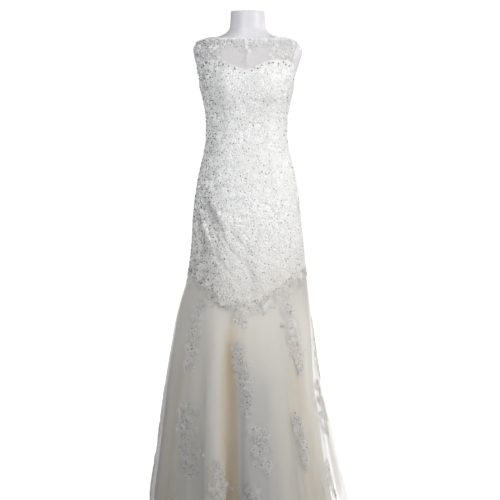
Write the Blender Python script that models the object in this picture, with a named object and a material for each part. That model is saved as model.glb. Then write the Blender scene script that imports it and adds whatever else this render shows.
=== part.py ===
# Sleeveless trumpet wedding dress on a limbless dress form with a round stand.
# The front faces -Y and the wearer's left is +X. Heights are above the underside of the stand.
# A place on the dress is a turn, in degrees round from the centre front towards the wearer's left,
# and a height. Every piece of cloth is a wall between two depths below the same dressed outline.
import math
from collections import namedtuple

import bpy
import numpy as np
from mathutils import Vector
from mathutils.bvhtree import BVHTree

MM = 0.001

# Driving sizes, in mm
CLOTH = 1.2              # wall of the lace, satin and net
TULLE = 1.0              # wall of the skirt's outer layer
SEAM = 0.3               # gap between pieces at a seam
CLEARANCE = {1120: 9, 1290: 2.7, 1590: 2.5, 1622: 1.5, 1645: 1.1}   # cloth to form, by height
SKIRT_DEPTH = 2.8        # the tulle's outer face, below the lace's
LINING_SEAM = 0.5        # tulle to lining at their top edge
LINING_GAP = 3.5         # tulle to lining where both leave the lace
SKIRT_LAP = 32           # how far the skirt runs up under the lace
HEM_HEIGHT = 6
FORM_BOTTOM = 878
NECK_TOP = 1725
POLE_RADIUS = 16
BASE_RADIUS = 200
BASE_THICKNESS = 8
BUTTON_COUNT = 14
BUTTON_RADIUS = 5.0
BUTTON_HEIGHT = 4.6
PLACKET_WIDTH = 20
PLACKET_BOTTOM = 1020
SPRAY_THICKNESS = 1.2

# Turns of the seams, in degrees
FRONT_SEAM = 30
SIDE_SEAM = 90
BACK_SEAM = 150
CENTRE_BACK = 180
ARM_TURN = 60            # where the armhole leaves the top of the bodice

# The dressed outline: half widths to the wearer's left and right, reach to the front and back, in mm.
# square is 2 for an ellipse and more for a boxier section.
Section = namedtuple("Section", "height left right front back square")
SECTIONS = [
    Section(0, 368, 355, 383, 477, 2.0),
    Section(20, 363, 352, 378, 470, 2.0),
    Section(92, 347, 343, 362, 448, 2.0),
    Section(165, 327, 332, 345, 424, 2.0),
    Section(238, 310, 322, 328, 399, 2.0),
    Section(311, 295, 311, 311, 372, 2.0),
    Section(383, 275, 301, 294, 345, 2.0),
    Section(455, 259, 291, 276, 317, 2.0),
    Section(527, 247, 279, 259, 289, 2.0),
    Section(598, 237, 266, 240, 262, 2.0),
    Section(669, 226, 253, 219, 234, 2.0),
    Section(740, 216, 235, 194, 206, 2.0),
    Section(810, 207, 213, 168, 178, 2.05),
    Section(880, 197, 199, 150, 159, 2.1),
    Section(950, 190, 192, 138, 149, 2.15),
    Section(1020, 182, 188, 129, 144, 2.2),
    Section(1088, 176, 181, 121, 141, 2.2),
    Section(1157, 164, 170, 113, 130, 2.2),
    Section(1225, 149, 155, 105, 112, 2.2),
    Section(1259, 140, 147, 101, 104, 2.2),
    Section(1310, 134, 141, 98, 97, 2.2),
    Section(1361, 134, 141, 100, 95, 2.2),
    Section(1410, 142, 147, 107, 98, 2.2),
    Section(1462, 154, 159, 114, 102, 2.2),
    Section(1496, 161, 166, 113, 103, 2.15),
    Section(1529, 171, 172, 105, 101, 2.1),
    Section(1563, 182, 182, 90, 97, 2.0),
    Section(1580, 186, 186, 81, 93, 2.0),
    Section(1596, 188, 188, 73, 88, 2.0),
    Section(1606, 184, 186, 69, 85, 2.0),
    Section(1616, 173, 179, 66, 82, 2.0),
    Section(1626, 157, 166, 63, 79, 2.0),
    Section(1636, 126, 133, 61, 75, 2.0),
    Section(1646, 86, 89, 58, 71, 2.0),
    Section(1656, 69, 70, 54, 67, 2.0),
    Section(1670, 60, 60, 51, 63, 2.0),
    Section(1725, 56, 56, 48, 62, 2.0),
]

# The cups, cut to a rounded bust: centre, spread and how far they stand forward, in mm.
CUP = {"across": 74, "height": 1475, "half_width": 52, "half_height": 58, "forward": 17}

# Soft flutes of the skirt. turn is at the hem and top_turn at the fold's head, both in degrees.
Fold = namedtuple("Fold", "turn top_turn half_width depth head")
FOLDS = [
    Fold(-61, -55, 13, 30, 760),
    Fold(-27, -36, 10, 13, 840),
    Fold(-5, -12, 13, 40, 820),
    Fold(29, 34, 14, 44, 790),
    Fold(50, 52, 8, 18, 660),
    Fold(75, 70, 11, 32, 720),
    Fold(101, 97, 12, 38, 760),
    Fold(127, 123, 13, 44, 790),
    Fold(153, 150, 12, 38, 760),
    Fold(179, 180, 13, 48, 810),
    Fold(205, 209, 12, 40, 770),
    Fold(231, 235, 13, 44, 790),
    Fold(258, 262, 12, 36, 740),
]

# Diagonal drag creases over the wearer's right thigh: ends as turn and height, size in mm.
Crease = namedtuple("Crease", "turn height end_turn end_height half_width depth")
CREASES = [
    Crease(-56, 1116, -24, 975, 26, 4.5),
    Crease(-68, 1065, -38, 900, 26, 5.5),
    Crease(2, 935, 10, 765, 22, 3.0),
]

# Heights of edges round the dress, in mm, for turns from 0 to 180 degrees.
TOP_EDGE = {
    0: 1525, 12: 1541, 30: 1561, 46: 1559, 60: 1548, 70: 1520, 80: 1483, 90: 1467,
    100: 1483, 110: 1520, 120: 1548, 140: 1533, 160: 1520, 180: 1512,
}
NECK_EDGE = {0: 1631, 45: 1633, 90: 1638, 135: 1626, 165: 1608, 180: 1602}
LACE_EDGE = {0: 736, 20: 758, 40: 802, 65: 828, 90: 832, 120: 820, 150: 782, 180: 748}
LACE_SCALLOP_DEPTH = 9
# Turn of the armhole's edge by height, up to the shoulder seam.
ARMHOLE_EDGE = {1548: 60, 1565: 59.5, 1580: 58.5, 1600: 62, 1612: 70, 1618: 80, 1621: 90}

# How far the lining hangs inside the tulle at the hem, by turn from -180 to 180 degrees, in mm.
LINING_INSET = {-180: 22, -120: 20, -85: 15, -45: 9, 0: 9, 40: 12, 70: 40, 95: 62, 130: 40, 180: 22}

# Lace sprays sewn to the tulle: middle, length, width, lean to the wearer's left, and lobes.
Spray = namedtuple("Spray", "turn height length width lean lobes")
SPRAYS = [
    Spray(-43, 648, 250, 62, -6, 5),
    Spray(-38, 320, 250, 88, 8, 4),
    Spray(-1, 520, 245, 62, 10, 5),
    Spray(10, 300, 160, 74, 14, 3),
    Spray(-14, 170, 180, 76, 4, 3),
    Spray(6, 128, 130, 84, 6, 3),
    Spray(44, 640, 235, 58, 10, 5),
    Spray(42, 310, 190, 60, 6, 4),
    Spray(66, 350, 150, 46, 6, 3),
    Spray(64, 150, 150, 60, 8, 3),
    Spray(-76, 360, 190, 66, -4, 4),
    Spray(-80, 130, 150, 70, -4, 3),
    Spray(88, 580, 220, 60, 4, 4),
    Spray(114, 320, 220, 72, 4, 4),
    Spray(140, 580, 230, 62, 4, 4),
    Spray(166, 310, 230, 80, 3, 4),
    Spray(192, 580, 230, 62, -4, 4),
    Spray(218, 310, 220, 76, -4, 4),
    Spray(246, 580, 220, 62, -4, 4),
]

COLOURS = {
    "lace": ((0.93, 0.93, 0.92), 0.75),
    "net": ((0.90, 0.89, 0.90), 0.80),
    "tulle": ((0.86, 0.85, 0.83), 0.80),
    "satin": ((0.85, 0.80, 0.70), 0.45),
    "shell": ((0.84, 0.83, 0.86), 0.35),
    "steel": ((0.72, 0.72, 0.74), 0.30),
}


def clear_scene():
    for thing in list(bpy.data.objects):
        bpy.data.objects.remove(thing)


# Curves through tables

def slopes(x, y):
    """Slopes at the points of a curve that passes through them all and never overshoots."""
    step, rise = np.diff(x), np.diff(y) / np.diff(x)
    slope = np.zeros(len(y))
    slope[0], slope[-1] = rise[0], rise[-1]
    ahead, behind = 2 * step[1:] + step[:-1], step[1:] + 2 * step[:-1]
    climbs = rise[:-1] * rise[1:] > 0
    before, after = np.where(climbs, rise[:-1], 1), np.where(climbs, rise[1:], 1)
    slope[1:-1] = np.where(climbs, (ahead + behind) / (ahead / before + behind / after), 0)
    return slope


def smooth_through(x, y, at):
    """The height at `at` of a smooth curve through the points (x, y), flat past its ends."""
    x, y, at = np.asarray(x, float), np.asarray(y, float), np.asarray(at, float)
    slope = slopes(x, y)
    i = np.clip(np.searchsorted(x, at) - 1, 0, len(x) - 2)
    width = x[i + 1] - x[i]
    t = np.clip((at - x[i]) / width, 0, 1)
    start = (1 + 2 * t) * (1 - t) ** 2 * y[i] + t * (1 - t) ** 2 * width * slope[i]
    end = t * t * (3 - 2 * t) * y[i + 1] + t * t * (t - 1) * width * slope[i + 1]
    return start + end


def edge_height(table, turn):
    """Height of a named edge at a turn, the same on both sides."""
    folded = np.abs((np.asarray(turn, float) + 180) % 360 - 180)
    return smooth_through(list(table), list(table.values()), folded)


def ramp(low, high, value):
    """0 below low, 1 above high, and smooth between them."""
    t = np.clip((value - low) / (high - low), 0, 1)
    return t * t * (3 - 2 * t)


def turn_apart(a, b):
    return (a - b + 180) % 360 - 180


# The dressed outline

def fold_depth(turn, height):
    """How far the skirt's flutes sink below the outline."""
    depth = 0
    for fold in FOLDS:
        drop = np.clip((fold.head - height) / fold.head, 0, 1)
        middle = fold.top_turn + (fold.turn - fold.top_turn) * drop
        across = np.clip(np.abs(turn_apart(turn, middle)) / fold.half_width, 0, 1)
        deepened = drop * (1 - math.e ** (-drop * 6))
        depth = depth + fold.depth * deepened * np.cos(across * math.pi / 2) ** 2
    return depth


def crease_depth(turn, height):
    depth = 0
    for crease in CREASES:
        arc = math.radians(1) * 190      # mm to a degree over the thigh
        along_x, along_y = (crease.end_turn - crease.turn) * arc, crease.end_height - crease.height
        length = math.hypot(along_x, along_y)
        x, y = turn_apart(turn, crease.turn) * arc, height - crease.height
        t = np.clip((x * along_x + y * along_y) / length ** 2, 0, 1)
        away = np.hypot(x - t * along_x, y - t * along_y)
        soft_ends = np.sin(np.clip(t, 0.04, 0.96) * math.pi) ** 0.5
        depth = depth + crease.depth * soft_ends * np.exp(-(away / crease.half_width) ** 2 * 2)
    return depth


def outline(turn, height, draped=True):
    """A point of the dressed outline, in mm, for arrays of turns and heights."""
    turn, height = np.broadcast_arrays(np.asarray(turn, float), np.asarray(height, float))
    rows = [s.height for s in SECTIONS]
    reach = {
        name: smooth_through(rows, [getattr(s, name) for s in SECTIONS], height)
        for name in Section._fields[1:]
    }
    across, ahead = np.sin(np.radians(turn)), np.cos(np.radians(turn))
    power = 2 / reach["square"]
    side = np.where(across > 0, reach["left"], reach["right"])
    face = np.where(ahead > 0, reach["front"], reach["back"])
    sunk = fold_depth(turn, height) + crease_depth(turn, height) if draped else 0
    x = np.sign(across) * np.abs(across) ** power * (side - sunk)
    y = -np.sign(ahead) * np.abs(ahead) ** power * (face - sunk)
    for middle in (-CUP["across"], CUP["across"]):
        round_off = ((x - middle) / CUP["half_width"]) ** 2
        round_off = round_off + ((height - CUP["height"]) / CUP["half_height"]) ** 2
        y = y - CUP["forward"] * np.exp(-round_off) * ramp(0, 0.4, ahead)
    return np.stack([x, y, height], axis=-1)


def below(turn, height, depth, draped=True):
    """The point at a depth under the outline, measured square to it, in mm."""
    point = outline(turn, height, draped)
    round_step = outline(turn + 0.5, height, draped) - outline(turn - 0.5, height, draped)
    up_step = outline(turn, height + 1.5, draped) - outline(turn, height - 1.5, draped)
    normal = np.cross(round_step, up_step)
    normal = normal / np.linalg.norm(normal, axis=-1, keepdims=True)
    return point - normal * np.asarray(depth, float)[..., None]


def lining_point(turn, height, upward, depth):
    """The lining is sewn in just under the tulle's top and hangs further in towards the hem."""
    point = below(turn, height, np.full(np.shape(turn), SKIRT_DEPTH + TULLE))
    flat = point[..., :2]
    apart = (np.asarray(turn, float) + 180) % 360 - 180
    at_hem = smooth_through(list(LINING_INSET), list(LINING_INSET.values()), apart)
    gap = LINING_SEAM + (LINING_GAP - LINING_SEAM) * ramp(0, 0.1, 1 - upward)
    inset = gap + (at_hem - LINING_GAP) * (1 - ramp(HEM_HEIGHT, 780, height)) + depth
    reach = np.linalg.norm(flat, axis=-1, keepdims=True)
    return np.concatenate([flat * (1 - inset[..., None] / reach), point[..., 2:]], axis=-1)


# Meshes

def material(name):
    made = bpy.data.materials.get(name)
    if made:
        return made
    made = bpy.data.materials.new(name)
    made.use_nodes = True
    colour, roughness = COLOURS[name]
    shader = made.node_tree.nodes["Principled BSDF"]
    shader.inputs["Base Color"].default_value = (*colour, 1)
    shader.inputs["Roughness"].default_value = roughness
    shader.inputs["Metallic"].default_value = 1.0 if name == "steel" else 0.0
    return made


def add_object(name, points, faces, look):
    mesh = bpy.data.meshes.new(name)
    mesh.from_pydata([tuple(p * MM) for p in points], [], faces)
    mesh.validate()
    mesh.update()
    mesh.shade_smooth()
    mesh.set_sharp_from_angle(angle=math.radians(40))
    mesh.materials.append(material(look))
    made = bpy.data.objects.new(name, mesh)
    bpy.context.scene.collection.objects.link(made)
    return made


def grid_triangles(grid, up):
    """Triangles over a grid of points, each quad split along the diagonal that stands further out."""
    rows, columns = grid.shape[:2]
    points, ups = grid.reshape(-1, 3), up.reshape(-1, 3)
    triangles = []
    for a in (i for i in range((rows - 1) * columns) if (i + 1) % columns):
        b, d, e = a + 1, a + columns, a + columns + 1
        rise = (points[a] + points[e] - points[b] - points[d]) @ (ups[a] + ups[b] + ups[d] + ups[e])
        triangles += [(a, b, e), (a, e, d)] if rise >= 0 else [(a, b, d), (b, e, d)]
    return triangles


def add_wall(name, outer, inner, look):
    """A closed wall between two grids of points, whose columns run round towards +X from the front."""
    rows, columns = outer.shape[:2]
    points = np.concatenate([outer.reshape(-1, 3), inner.reshape(-1, 3)])
    back = rows * columns
    faces = grid_triangles(outer, outer - inner)
    faces += [(back + a, back + c, back + b) for a, b, c in faces]
    rim = [c for c in range(columns)]
    rim += [r * columns + columns - 1 for r in range(1, rows)]
    rim += [(rows - 1) * columns + c for c in range(columns - 2, -1, -1)]
    rim += [r * columns for r in range(rows - 2, 0, -1)]
    for a, b in zip(rim, rim[1:] + rim[:1]):
        faces.append((b, a, back + a, back + b))
    return add_object(name, points, faces, look)


def seam_gap(turn, height):
    """Half a seam's gap as degrees of turn."""
    step = outline(turn + 0.5, height) - outline(turn - 0.5, height)
    return SEAM / 2 / np.linalg.norm(step, axis=-1)


def turns_between(first, last, shares, heights, gap=1.0):
    """Turns across a panel, held half a seam's gap inside both ends."""
    low = first + seam_gap(first, heights) * gap
    high = last - seam_gap(last, heights) * gap
    return low + (high - low) * shares


# Dress

def add_body_panel(name, first, last, columns):
    """A lace panel from its scalloped lower edge up to the neckline of the lined bodice."""
    shares = np.linspace(0, 1, columns + 1)[None, :]
    upward = np.concatenate([np.linspace(0, 0.74, 10), np.linspace(0.74, 1, 9)[1:]])[:, None]
    scallops = LACE_SCALLOP_DEPTH * (0.5 - np.abs(np.sin(shares * columns * math.pi / 2)))
    heights = np.full((len(upward), columns + 1), 1200.0)
    for _ in range(3):           # the seam's gap and the edges depend on each other a little
        turns = turns_between(first, last, shares, heights)
        low = edge_height(LACE_EDGE, turns) + scallops
        heights = low * (1 - upward) + edge_height(TOP_EDGE, turns) * upward
    outer = below(turns, heights, np.zeros(turns.shape))
    inner = below(turns, heights, np.full(turns.shape, CLOTH))
    return add_wall(name, outer, inner, "lace")


def add_yoke(name, marks, behind):
    """Sheer net from the bodice's top edge over the shoulder to the neckline, between armholes.

    marks are the turns of its columns at the bodice, counted from the centre front or back.
    """
    side_heights = np.array([1548, 1566, 1582, 1594, 1603, 1610, 1616, 1621, 1626, 1632, 1638], float)
    upward = ((side_heights - side_heights[0]) / (side_heights[-1] - side_heights[0]))[:, None]
    shares = (np.array(marks) / ARM_TURN)[None, :]
    edge_turn = smooth_through(list(ARMHOLE_EDGE), list(ARMHOLE_EDGE.values()), side_heights)
    spread = np.minimum(edge_turn, SIDE_SEAM - seam_gap(SIDE_SEAM, side_heights))[:, None]
    turns, wide = spread * shares, SIDE_SEAM * np.abs(shares)
    low_turn = ARM_TURN * np.abs(shares)
    if behind:
        wide, low_turn = CENTRE_BACK - wide, CENTRE_BACK - low_turn
    heights = (edge_height(TOP_EDGE, low_turn) + 2 * SEAM) * (1 - upward)
    heights = heights + edge_height(NECK_EDGE, wide) * upward
    if behind:
        side = np.sign(shares.sum())
        turns = np.where(shares == 0, side * seam_gap(CENTRE_BACK, heights), turns)
        turns, heights = CENTRE_BACK - turns[:, ::-1], heights[:, ::-1]
    outer = below(turns, heights, np.zeros(turns.shape))
    inner = below(turns, heights, np.full(turns.shape, CLOTH))
    return add_wall(name, outer, inner, "net")


def skirt_turns(first, last):
    """Turns of the skirt's columns: close together in each flute, one on each crest."""
    marks = set()
    for fold in FOLDS:
        for share in (-1, -0.5, 0, 0.5, 1):
            marks.add(round((fold.turn + share * fold.half_width + 90) % 360 - 90, 2))
    marks = sorted(m for m in marks if first + 1.5 < m < last - 1.5)
    chosen = [first]
    for mark in marks + [last]:
        if mark - chosen[-1] > 9:
            chosen.append((chosen[-1] + mark) / 2)
        if mark - chosen[-1] > 2.2 or mark == last:
            chosen.append(mark)
    return np.array(chosen, float)


def skirt_grid(first, last, row_shares, lower_end, gap):
    columns = skirt_turns(first, last)
    shares = ((columns - first) / (last - first))[None, :]
    upward = np.asarray(row_shares, float)[:, None]
    heights = np.full((upward.shape[0], shares.shape[1]), 400.0)
    for _ in range(3):
        turns = turns_between(first, last, shares, heights, gap)
        top = edge_height(LACE_EDGE, turns) + SKIRT_LAP
        heights = lower_end + (top - lower_end) * upward
    return turns, heights


def add_tulle(name, first, last):
    rows = [0, 0.13, 0.26, 0.39, 0.51, 0.62, 0.72, 0.81, 0.88, 0.94, 1]
    turns, heights = skirt_grid(first, last, rows, HEM_HEIGHT, 1)
    outer = below(turns, heights, np.full(turns.shape, SKIRT_DEPTH))
    inner = below(turns, heights, np.full(turns.shape, SKIRT_DEPTH + TULLE))
    return add_wall(name, outer, inner, "tulle")


def add_lining(name, first, last):
    rows = [0, 0.16, 0.32, 0.48, 0.63, 0.77, 0.88, 0.94, 1]
    turns, heights = skirt_grid(first, last, rows, HEM_HEIGHT + 4, 1.35)
    upward = np.array(rows)[:, None]
    outer = lining_point(turns, heights, upward, 0.0)
    inner = lining_point(turns, heights, upward, CLOTH)
    return add_wall(name, outer, inner, "satin")


def add_placket():
    """A narrow strip over the centre back opening, from the neckline to the seat."""
    high = float(edge_height(NECK_EDGE, CENTRE_BACK)) - 3
    heights = np.linspace(PLACKET_BOTTOM, high, 19)[:, None] * np.ones((1, 2))
    half = PLACKET_WIDTH / 2 * seam_gap(CENTRE_BACK, heights) / (SEAM / 2)
    turns = CENTRE_BACK + half * np.array([[-1, 1]])
    outer = below(turns, heights, np.full(turns.shape, -2.2))
    inner = below(turns, heights, np.full(turns.shape, -1.2))
    return add_wall("placket", outer, inner, "satin")


def tree_of(thing):
    mesh = thing.data
    mesh.calc_loop_triangles()
    points = [v.co / MM for v in mesh.vertices]
    return BVHTree.FromPolygons(points, [tuple(t.vertices) for t in mesh.loop_triangles])


def add_buttons(placket):
    """Small domed buttons covered in satin, one above the other on the placket."""
    cloth = tree_of(placket)
    low, high = PLACKET_BOTTOM + 18, float(edge_height(NECK_EDGE, CENTRE_BACK)) - 12
    for number, height in enumerate(np.linspace(high, low, BUTTON_COUNT)):
        above = Vector(below(np.array(180.0), np.array(height), np.array(-9.0)))
        seat, away = cloth.find_nearest(above)[:2]
        bpy.ops.mesh.primitive_uv_sphere_add(segments=10, ring_count=4, radius=BUTTON_RADIUS * MM)
        button = bpy.context.object
        button.name = f"button_{number + 1:02d}"
        button.data.name = button.name
        for vertex in button.data.vertices:
            flat = max(vertex.co.z, 0) * BUTTON_HEIGHT / BUTTON_RADIUS
            vertex.co.z = flat if vertex.co.z > -1e-6 else -0.2 * MM
        button.rotation_mode = "QUATERNION"
        button.rotation_quaternion = away.to_track_quat("Z", "Y")
        button.location = (seat + away * (0.2 + SEAM)) * MM
        button.data.shade_smooth()
        button.data.materials.append(material("satin"))


def spray_grid(spray):
    """Turns and heights over a spray: flower heads strung along a stem, uneven on its two sides."""
    rows = spray.lobes * 2 + 1
    along = np.linspace(0, 1, rows)
    taper = np.sin(np.clip(along, 0.05, 0.95) * math.pi) ** 0.3
    swell = (0.32 + 0.68 * np.abs(np.sin(along * spray.lobes * math.pi))) * taper
    sway = 0.22 * np.sin(along * 7 + spray.turn)
    right, left = swell * (1 - sway), swell * (1 + sway)
    heights = spray.height + (along - 0.5) * spray.length
    middle = outline(spray.turn, heights)
    degree = np.linalg.norm(outline(spray.turn + 0.5, heights) - outline(spray.turn - 0.5, heights), axis=-1)
    lean = (along - 0.5) * -spray.length * math.tan(math.radians(spray.lean)) + middle[:, 0] * 0
    half = spray.width / 2
    shifts = np.stack([lean - half * right, lean, lean + half * left], axis=1)
    return spray.turn + shifts / degree[:, None], np.repeat(heights[:, None], 3, axis=1)


def rise_to_cloth(point, away, skirts):
    """How far the tulle's facets stand above a point, along a direction away from the dress."""
    start = Vector(point) + away * 15
    hits = [skirt.ray_cast(start, -away, 30) for skirt in skirts]
    return max((15 - hit[3] for hit in hits if hit[0] is not None), default=0.0)


def sheet_tree(grid, up):
    return BVHTree.FromPolygons([Vector(p) for p in grid.reshape(-1, 3)], grid_triangles(grid, up))


def add_spray(number, spray, skirts):
    """A spray is laid on the tulle's own facets, then moved out until it just clears them."""
    turns, heights = spray_grid(spray)
    base = below(turns, heights, np.full(turns.shape, SKIRT_DEPTH))
    up = below(turns, heights, np.full(turns.shape, SKIRT_DEPTH - 1)) - base
    for place in np.ndindex(base.shape[:2]):
        base[place] += up[place] * rise_to_cloth(base[place], Vector(up[place]), skirts)
    lift = 0.05
    while any(sheet_tree(base + up * lift, up).overlap(skirt) for skirt in skirts):
        lift += 0.1
    inner = base + up * (lift + SEAM)
    return add_wall(f"spray_{number:02d}", inner + up * SPRAY_THICKNESS, inner, "lace")


# Dress form and stand

def add_form():
    """A smooth torso and neck, closed below the hips, that follows the dress inside it."""
    heights = [NECK_TOP, NECK_TOP - 3, 1690, 1672, 1661, 1653, 1646, 1640, 1634, 1628, 1622, 1617,
               1612, 1605, 1595, 1580, 1560, 1535, 1512, 1494, 1476, 1456, 1434, 1404, 1360, 1310,
               1255, 1195, 1130, 1055, 970]
    columns = np.arange(0, 360, 11.25)
    rings = []
    for height in heights:
        clearance = smooth_through(list(CLEARANCE), list(CLEARANCE.values()), height)
        depth = (CLOTH + clearance) * ramp(-1660, -1638, -height)
        if height == NECK_TOP:
            depth = 3
        rings.append(below(columns, np.full(columns.shape, float(height)),
                           np.full(columns.shape, float(depth)), draped=False))
    hips = rings[-1].copy()
    for height, share in ((925, 0.985), (900, 0.93), (886, 0.84), (FORM_BOTTOM, 0.70)):
        ring = hips * np.array([share, share, 0]) + np.array([0, 0, height])
        rings.append(ring)
    rings = rings[::-1]
    count = len(columns)
    points = np.concatenate(rings)
    faces = [tuple(range(count - 1, -1, -1))]
    for r in range(len(rings) - 1):
        for c in range(count):
            a, b = r * count + c, r * count + (c + 1) % count
            faces.append((a, b, b + count, a + count))
    faces.append(tuple(range((len(rings) - 1) * count, len(rings) * count)))
    return add_object("form_torso", points, faces, "shell")


def add_turned(name, profile, look, segments=24):
    """A solid turned about the stand's axis from (radius, height) points, bottom to top."""
    turns = np.radians(np.arange(segments) * 360 / segments)
    ring = np.stack([np.cos(turns), np.sin(turns)], axis=1)
    points = np.concatenate([np.column_stack([ring * radius, np.full(segments, height)])
                             for radius, height in profile])
    faces = [tuple(range(segments - 1, -1, -1))]
    for r in range(len(profile) - 1):
        for c in range(segments):
            a, b = r * segments + c, r * segments + (c + 1) % segments
            faces.append((a, b, b + segments, a + segments))
    faces.append(tuple(range((len(profile) - 1) * segments, len(profile) * segments)))
    return add_object(name, points, faces, look)


def add_stand():
    edge = 3
    boss_top = BASE_THICKNESS + 38
    add_turned("stand_base", [
        (BASE_RADIUS, 0), (BASE_RADIUS, BASE_THICKNESS - edge), (BASE_RADIUS - edge, BASE_THICKNESS),
        (30, BASE_THICKNESS + 3), (25, boss_top),
    ], "steel", segments=40)
    collar_bottom = FORM_BOTTOM - 46
    add_turned("stand_pole", [(POLE_RADIUS, boss_top + SEAM), (POLE_RADIUS, collar_bottom - SEAM)],
               "steel", segments=16)
    add_turned("stand_collar", [
        (23, collar_bottom), (26, FORM_BOTTOM - 16), (54, FORM_BOTTOM - 8), (54, FORM_BOTTOM - SEAM),
    ], "steel")


def build():
    clear_scene()
    add_body_panel("body_front", -FRONT_SEAM, FRONT_SEAM, 8)
    add_body_panel("body_side_front_left", FRONT_SEAM, SIDE_SEAM, 8)
    add_body_panel("body_side_front_right", -SIDE_SEAM, -FRONT_SEAM, 8)
    add_body_panel("body_side_back_left", SIDE_SEAM, BACK_SEAM, 8)
    add_body_panel("body_side_back_right", -BACK_SEAM, -SIDE_SEAM, 8)
    add_body_panel("body_back_left", BACK_SEAM, CENTRE_BACK, 4)
    add_body_panel("body_back_right", -CENTRE_BACK, -BACK_SEAM, 4)
    to_arm = [7.5, 15, 22.5, 30, 37.5, 45, 48.75, 52.5, 56.25, ARM_TURN]
    to_other_arm = [-turn for turn in reversed(to_arm)]
    add_yoke("yoke_front", to_other_arm + [0] + to_arm, behind=False)
    add_yoke("yoke_back_left", [0] + to_arm, behind=True)
    add_yoke("yoke_back_right", to_other_arm + [0], behind=True)
    skirts = [
        add_tulle("skirt_tulle_front", -SIDE_SEAM, SIDE_SEAM),
        add_tulle("skirt_tulle_back", SIDE_SEAM, 360 - SIDE_SEAM),
    ]
    add_lining("skirt_lining_front", -SIDE_SEAM, SIDE_SEAM)
    add_lining("skirt_lining_back", SIDE_SEAM, 360 - SIDE_SEAM)
    add_buttons(add_placket())
    trees = [tree_of(skirt) for skirt in skirts]
    for number, spray in enumerate(SPRAYS):
        add_spray(number + 1, spray, trees)
    add_form()
    add_stand()


build()
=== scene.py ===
import math
import random

import bpy
import numpy as np
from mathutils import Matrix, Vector
from mathutils.bvhtree import BVHTree


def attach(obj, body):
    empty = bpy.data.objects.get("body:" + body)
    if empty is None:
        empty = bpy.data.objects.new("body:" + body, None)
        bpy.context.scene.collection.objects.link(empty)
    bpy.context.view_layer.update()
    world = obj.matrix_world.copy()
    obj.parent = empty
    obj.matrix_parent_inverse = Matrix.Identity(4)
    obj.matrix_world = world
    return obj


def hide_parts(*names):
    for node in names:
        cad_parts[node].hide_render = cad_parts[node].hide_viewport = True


# Sleeveless trumpet wedding dress of corded lace, net, tulle and satin, on a dress form.
# The front faces -Y and the wearer's left is +X. A place on the dress is a turn, in degrees from
# the centre front towards the wearer's left, and a height in mm. Lengths are in mm until a mesh is made.

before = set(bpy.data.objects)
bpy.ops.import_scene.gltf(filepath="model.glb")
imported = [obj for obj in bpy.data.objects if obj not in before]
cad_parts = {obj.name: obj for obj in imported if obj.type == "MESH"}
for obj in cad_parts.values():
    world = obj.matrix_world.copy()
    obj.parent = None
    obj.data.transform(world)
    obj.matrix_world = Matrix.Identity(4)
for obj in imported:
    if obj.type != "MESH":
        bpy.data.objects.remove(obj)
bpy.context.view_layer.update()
mm = 0.001
print("frame loaded:", len(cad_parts), "nodes")


# The dressed outline: height, half widths to the wearer's left and right, reach to front and back,
# and how square the section is (2 is an ellipse).
sections = [
    (0, 368, 355, 383, 477, 2.0), (20, 363, 352, 378, 470, 2.0), (92, 347, 343, 362, 448, 2.0),
    (165, 327, 332, 345, 424, 2.0), (238, 310, 322, 328, 399, 2.0), (311, 295, 311, 311, 372, 2.0),
    (383, 275, 301, 294, 345, 2.0), (455, 259, 291, 276, 317, 2.0), (527, 247, 279, 259, 289, 2.0),
    (598, 237, 266, 240, 262, 2.0), (669, 226, 253, 219, 234, 2.0), (740, 216, 235, 194, 206, 2.0),
    (810, 207, 213, 168, 178, 2.05), (880, 197, 199, 150, 159, 2.1), (950, 190, 192, 138, 149, 2.15),
    (1020, 182, 188, 129, 144, 2.2), (1088, 176, 181, 121, 141, 2.2), (1157, 164, 170, 113, 130, 2.2),
    (1225, 149, 155, 105, 112, 2.2), (1259, 140, 147, 101, 104, 2.2), (1310, 134, 141, 98, 97, 2.2),
    (1361, 134, 141, 100, 95, 2.2), (1410, 142, 147, 107, 98, 2.2), (1462, 154, 159, 114, 102, 2.2),
    (1496, 161, 166, 113, 103, 2.15), (1529, 171, 172, 105, 101, 2.1), (1563, 182, 182, 90, 97, 2.0),
    (1580, 186, 186, 81, 93, 2.0), (1596, 188, 188, 73, 88, 2.0), (1606, 184, 186, 69, 85, 2.0),
    (1616, 173, 179, 66, 82, 2.0), (1626, 157, 166, 63, 79, 2.0), (1636, 126, 133, 61, 75, 2.0),
    (1646, 86, 89, 58, 71, 2.0), (1656, 69, 70, 54, 67, 2.0), (1670, 60, 60, 51, 63, 2.0),
    (1725, 56, 56, 48, 62, 2.0),
]
cup = {"across": 74, "height": 1475, "halfWidth": 52, "halfHeight": 58, "forward": 17}

# Flutes of the skirt: turn at the hem, turn at the head, half width in degrees, depth, height of the head.
flutes = [
    (-61, -55, 13, 30, 760), (-27, -36, 10, 13, 840), (-5, -12, 13, 40, 820), (29, 34, 14, 44, 790),
    (50, 52, 8, 18, 660), (75, 70, 11, 32, 720), (101, 97, 12, 38, 760), (127, 123, 13, 44, 790),
    (153, 150, 12, 38, 760), (179, 180, 13, 48, 810), (205, 209, 12, 40, 770), (231, 235, 13, 44, 790),
    (258, 262, 12, 36, 740),
]
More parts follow.
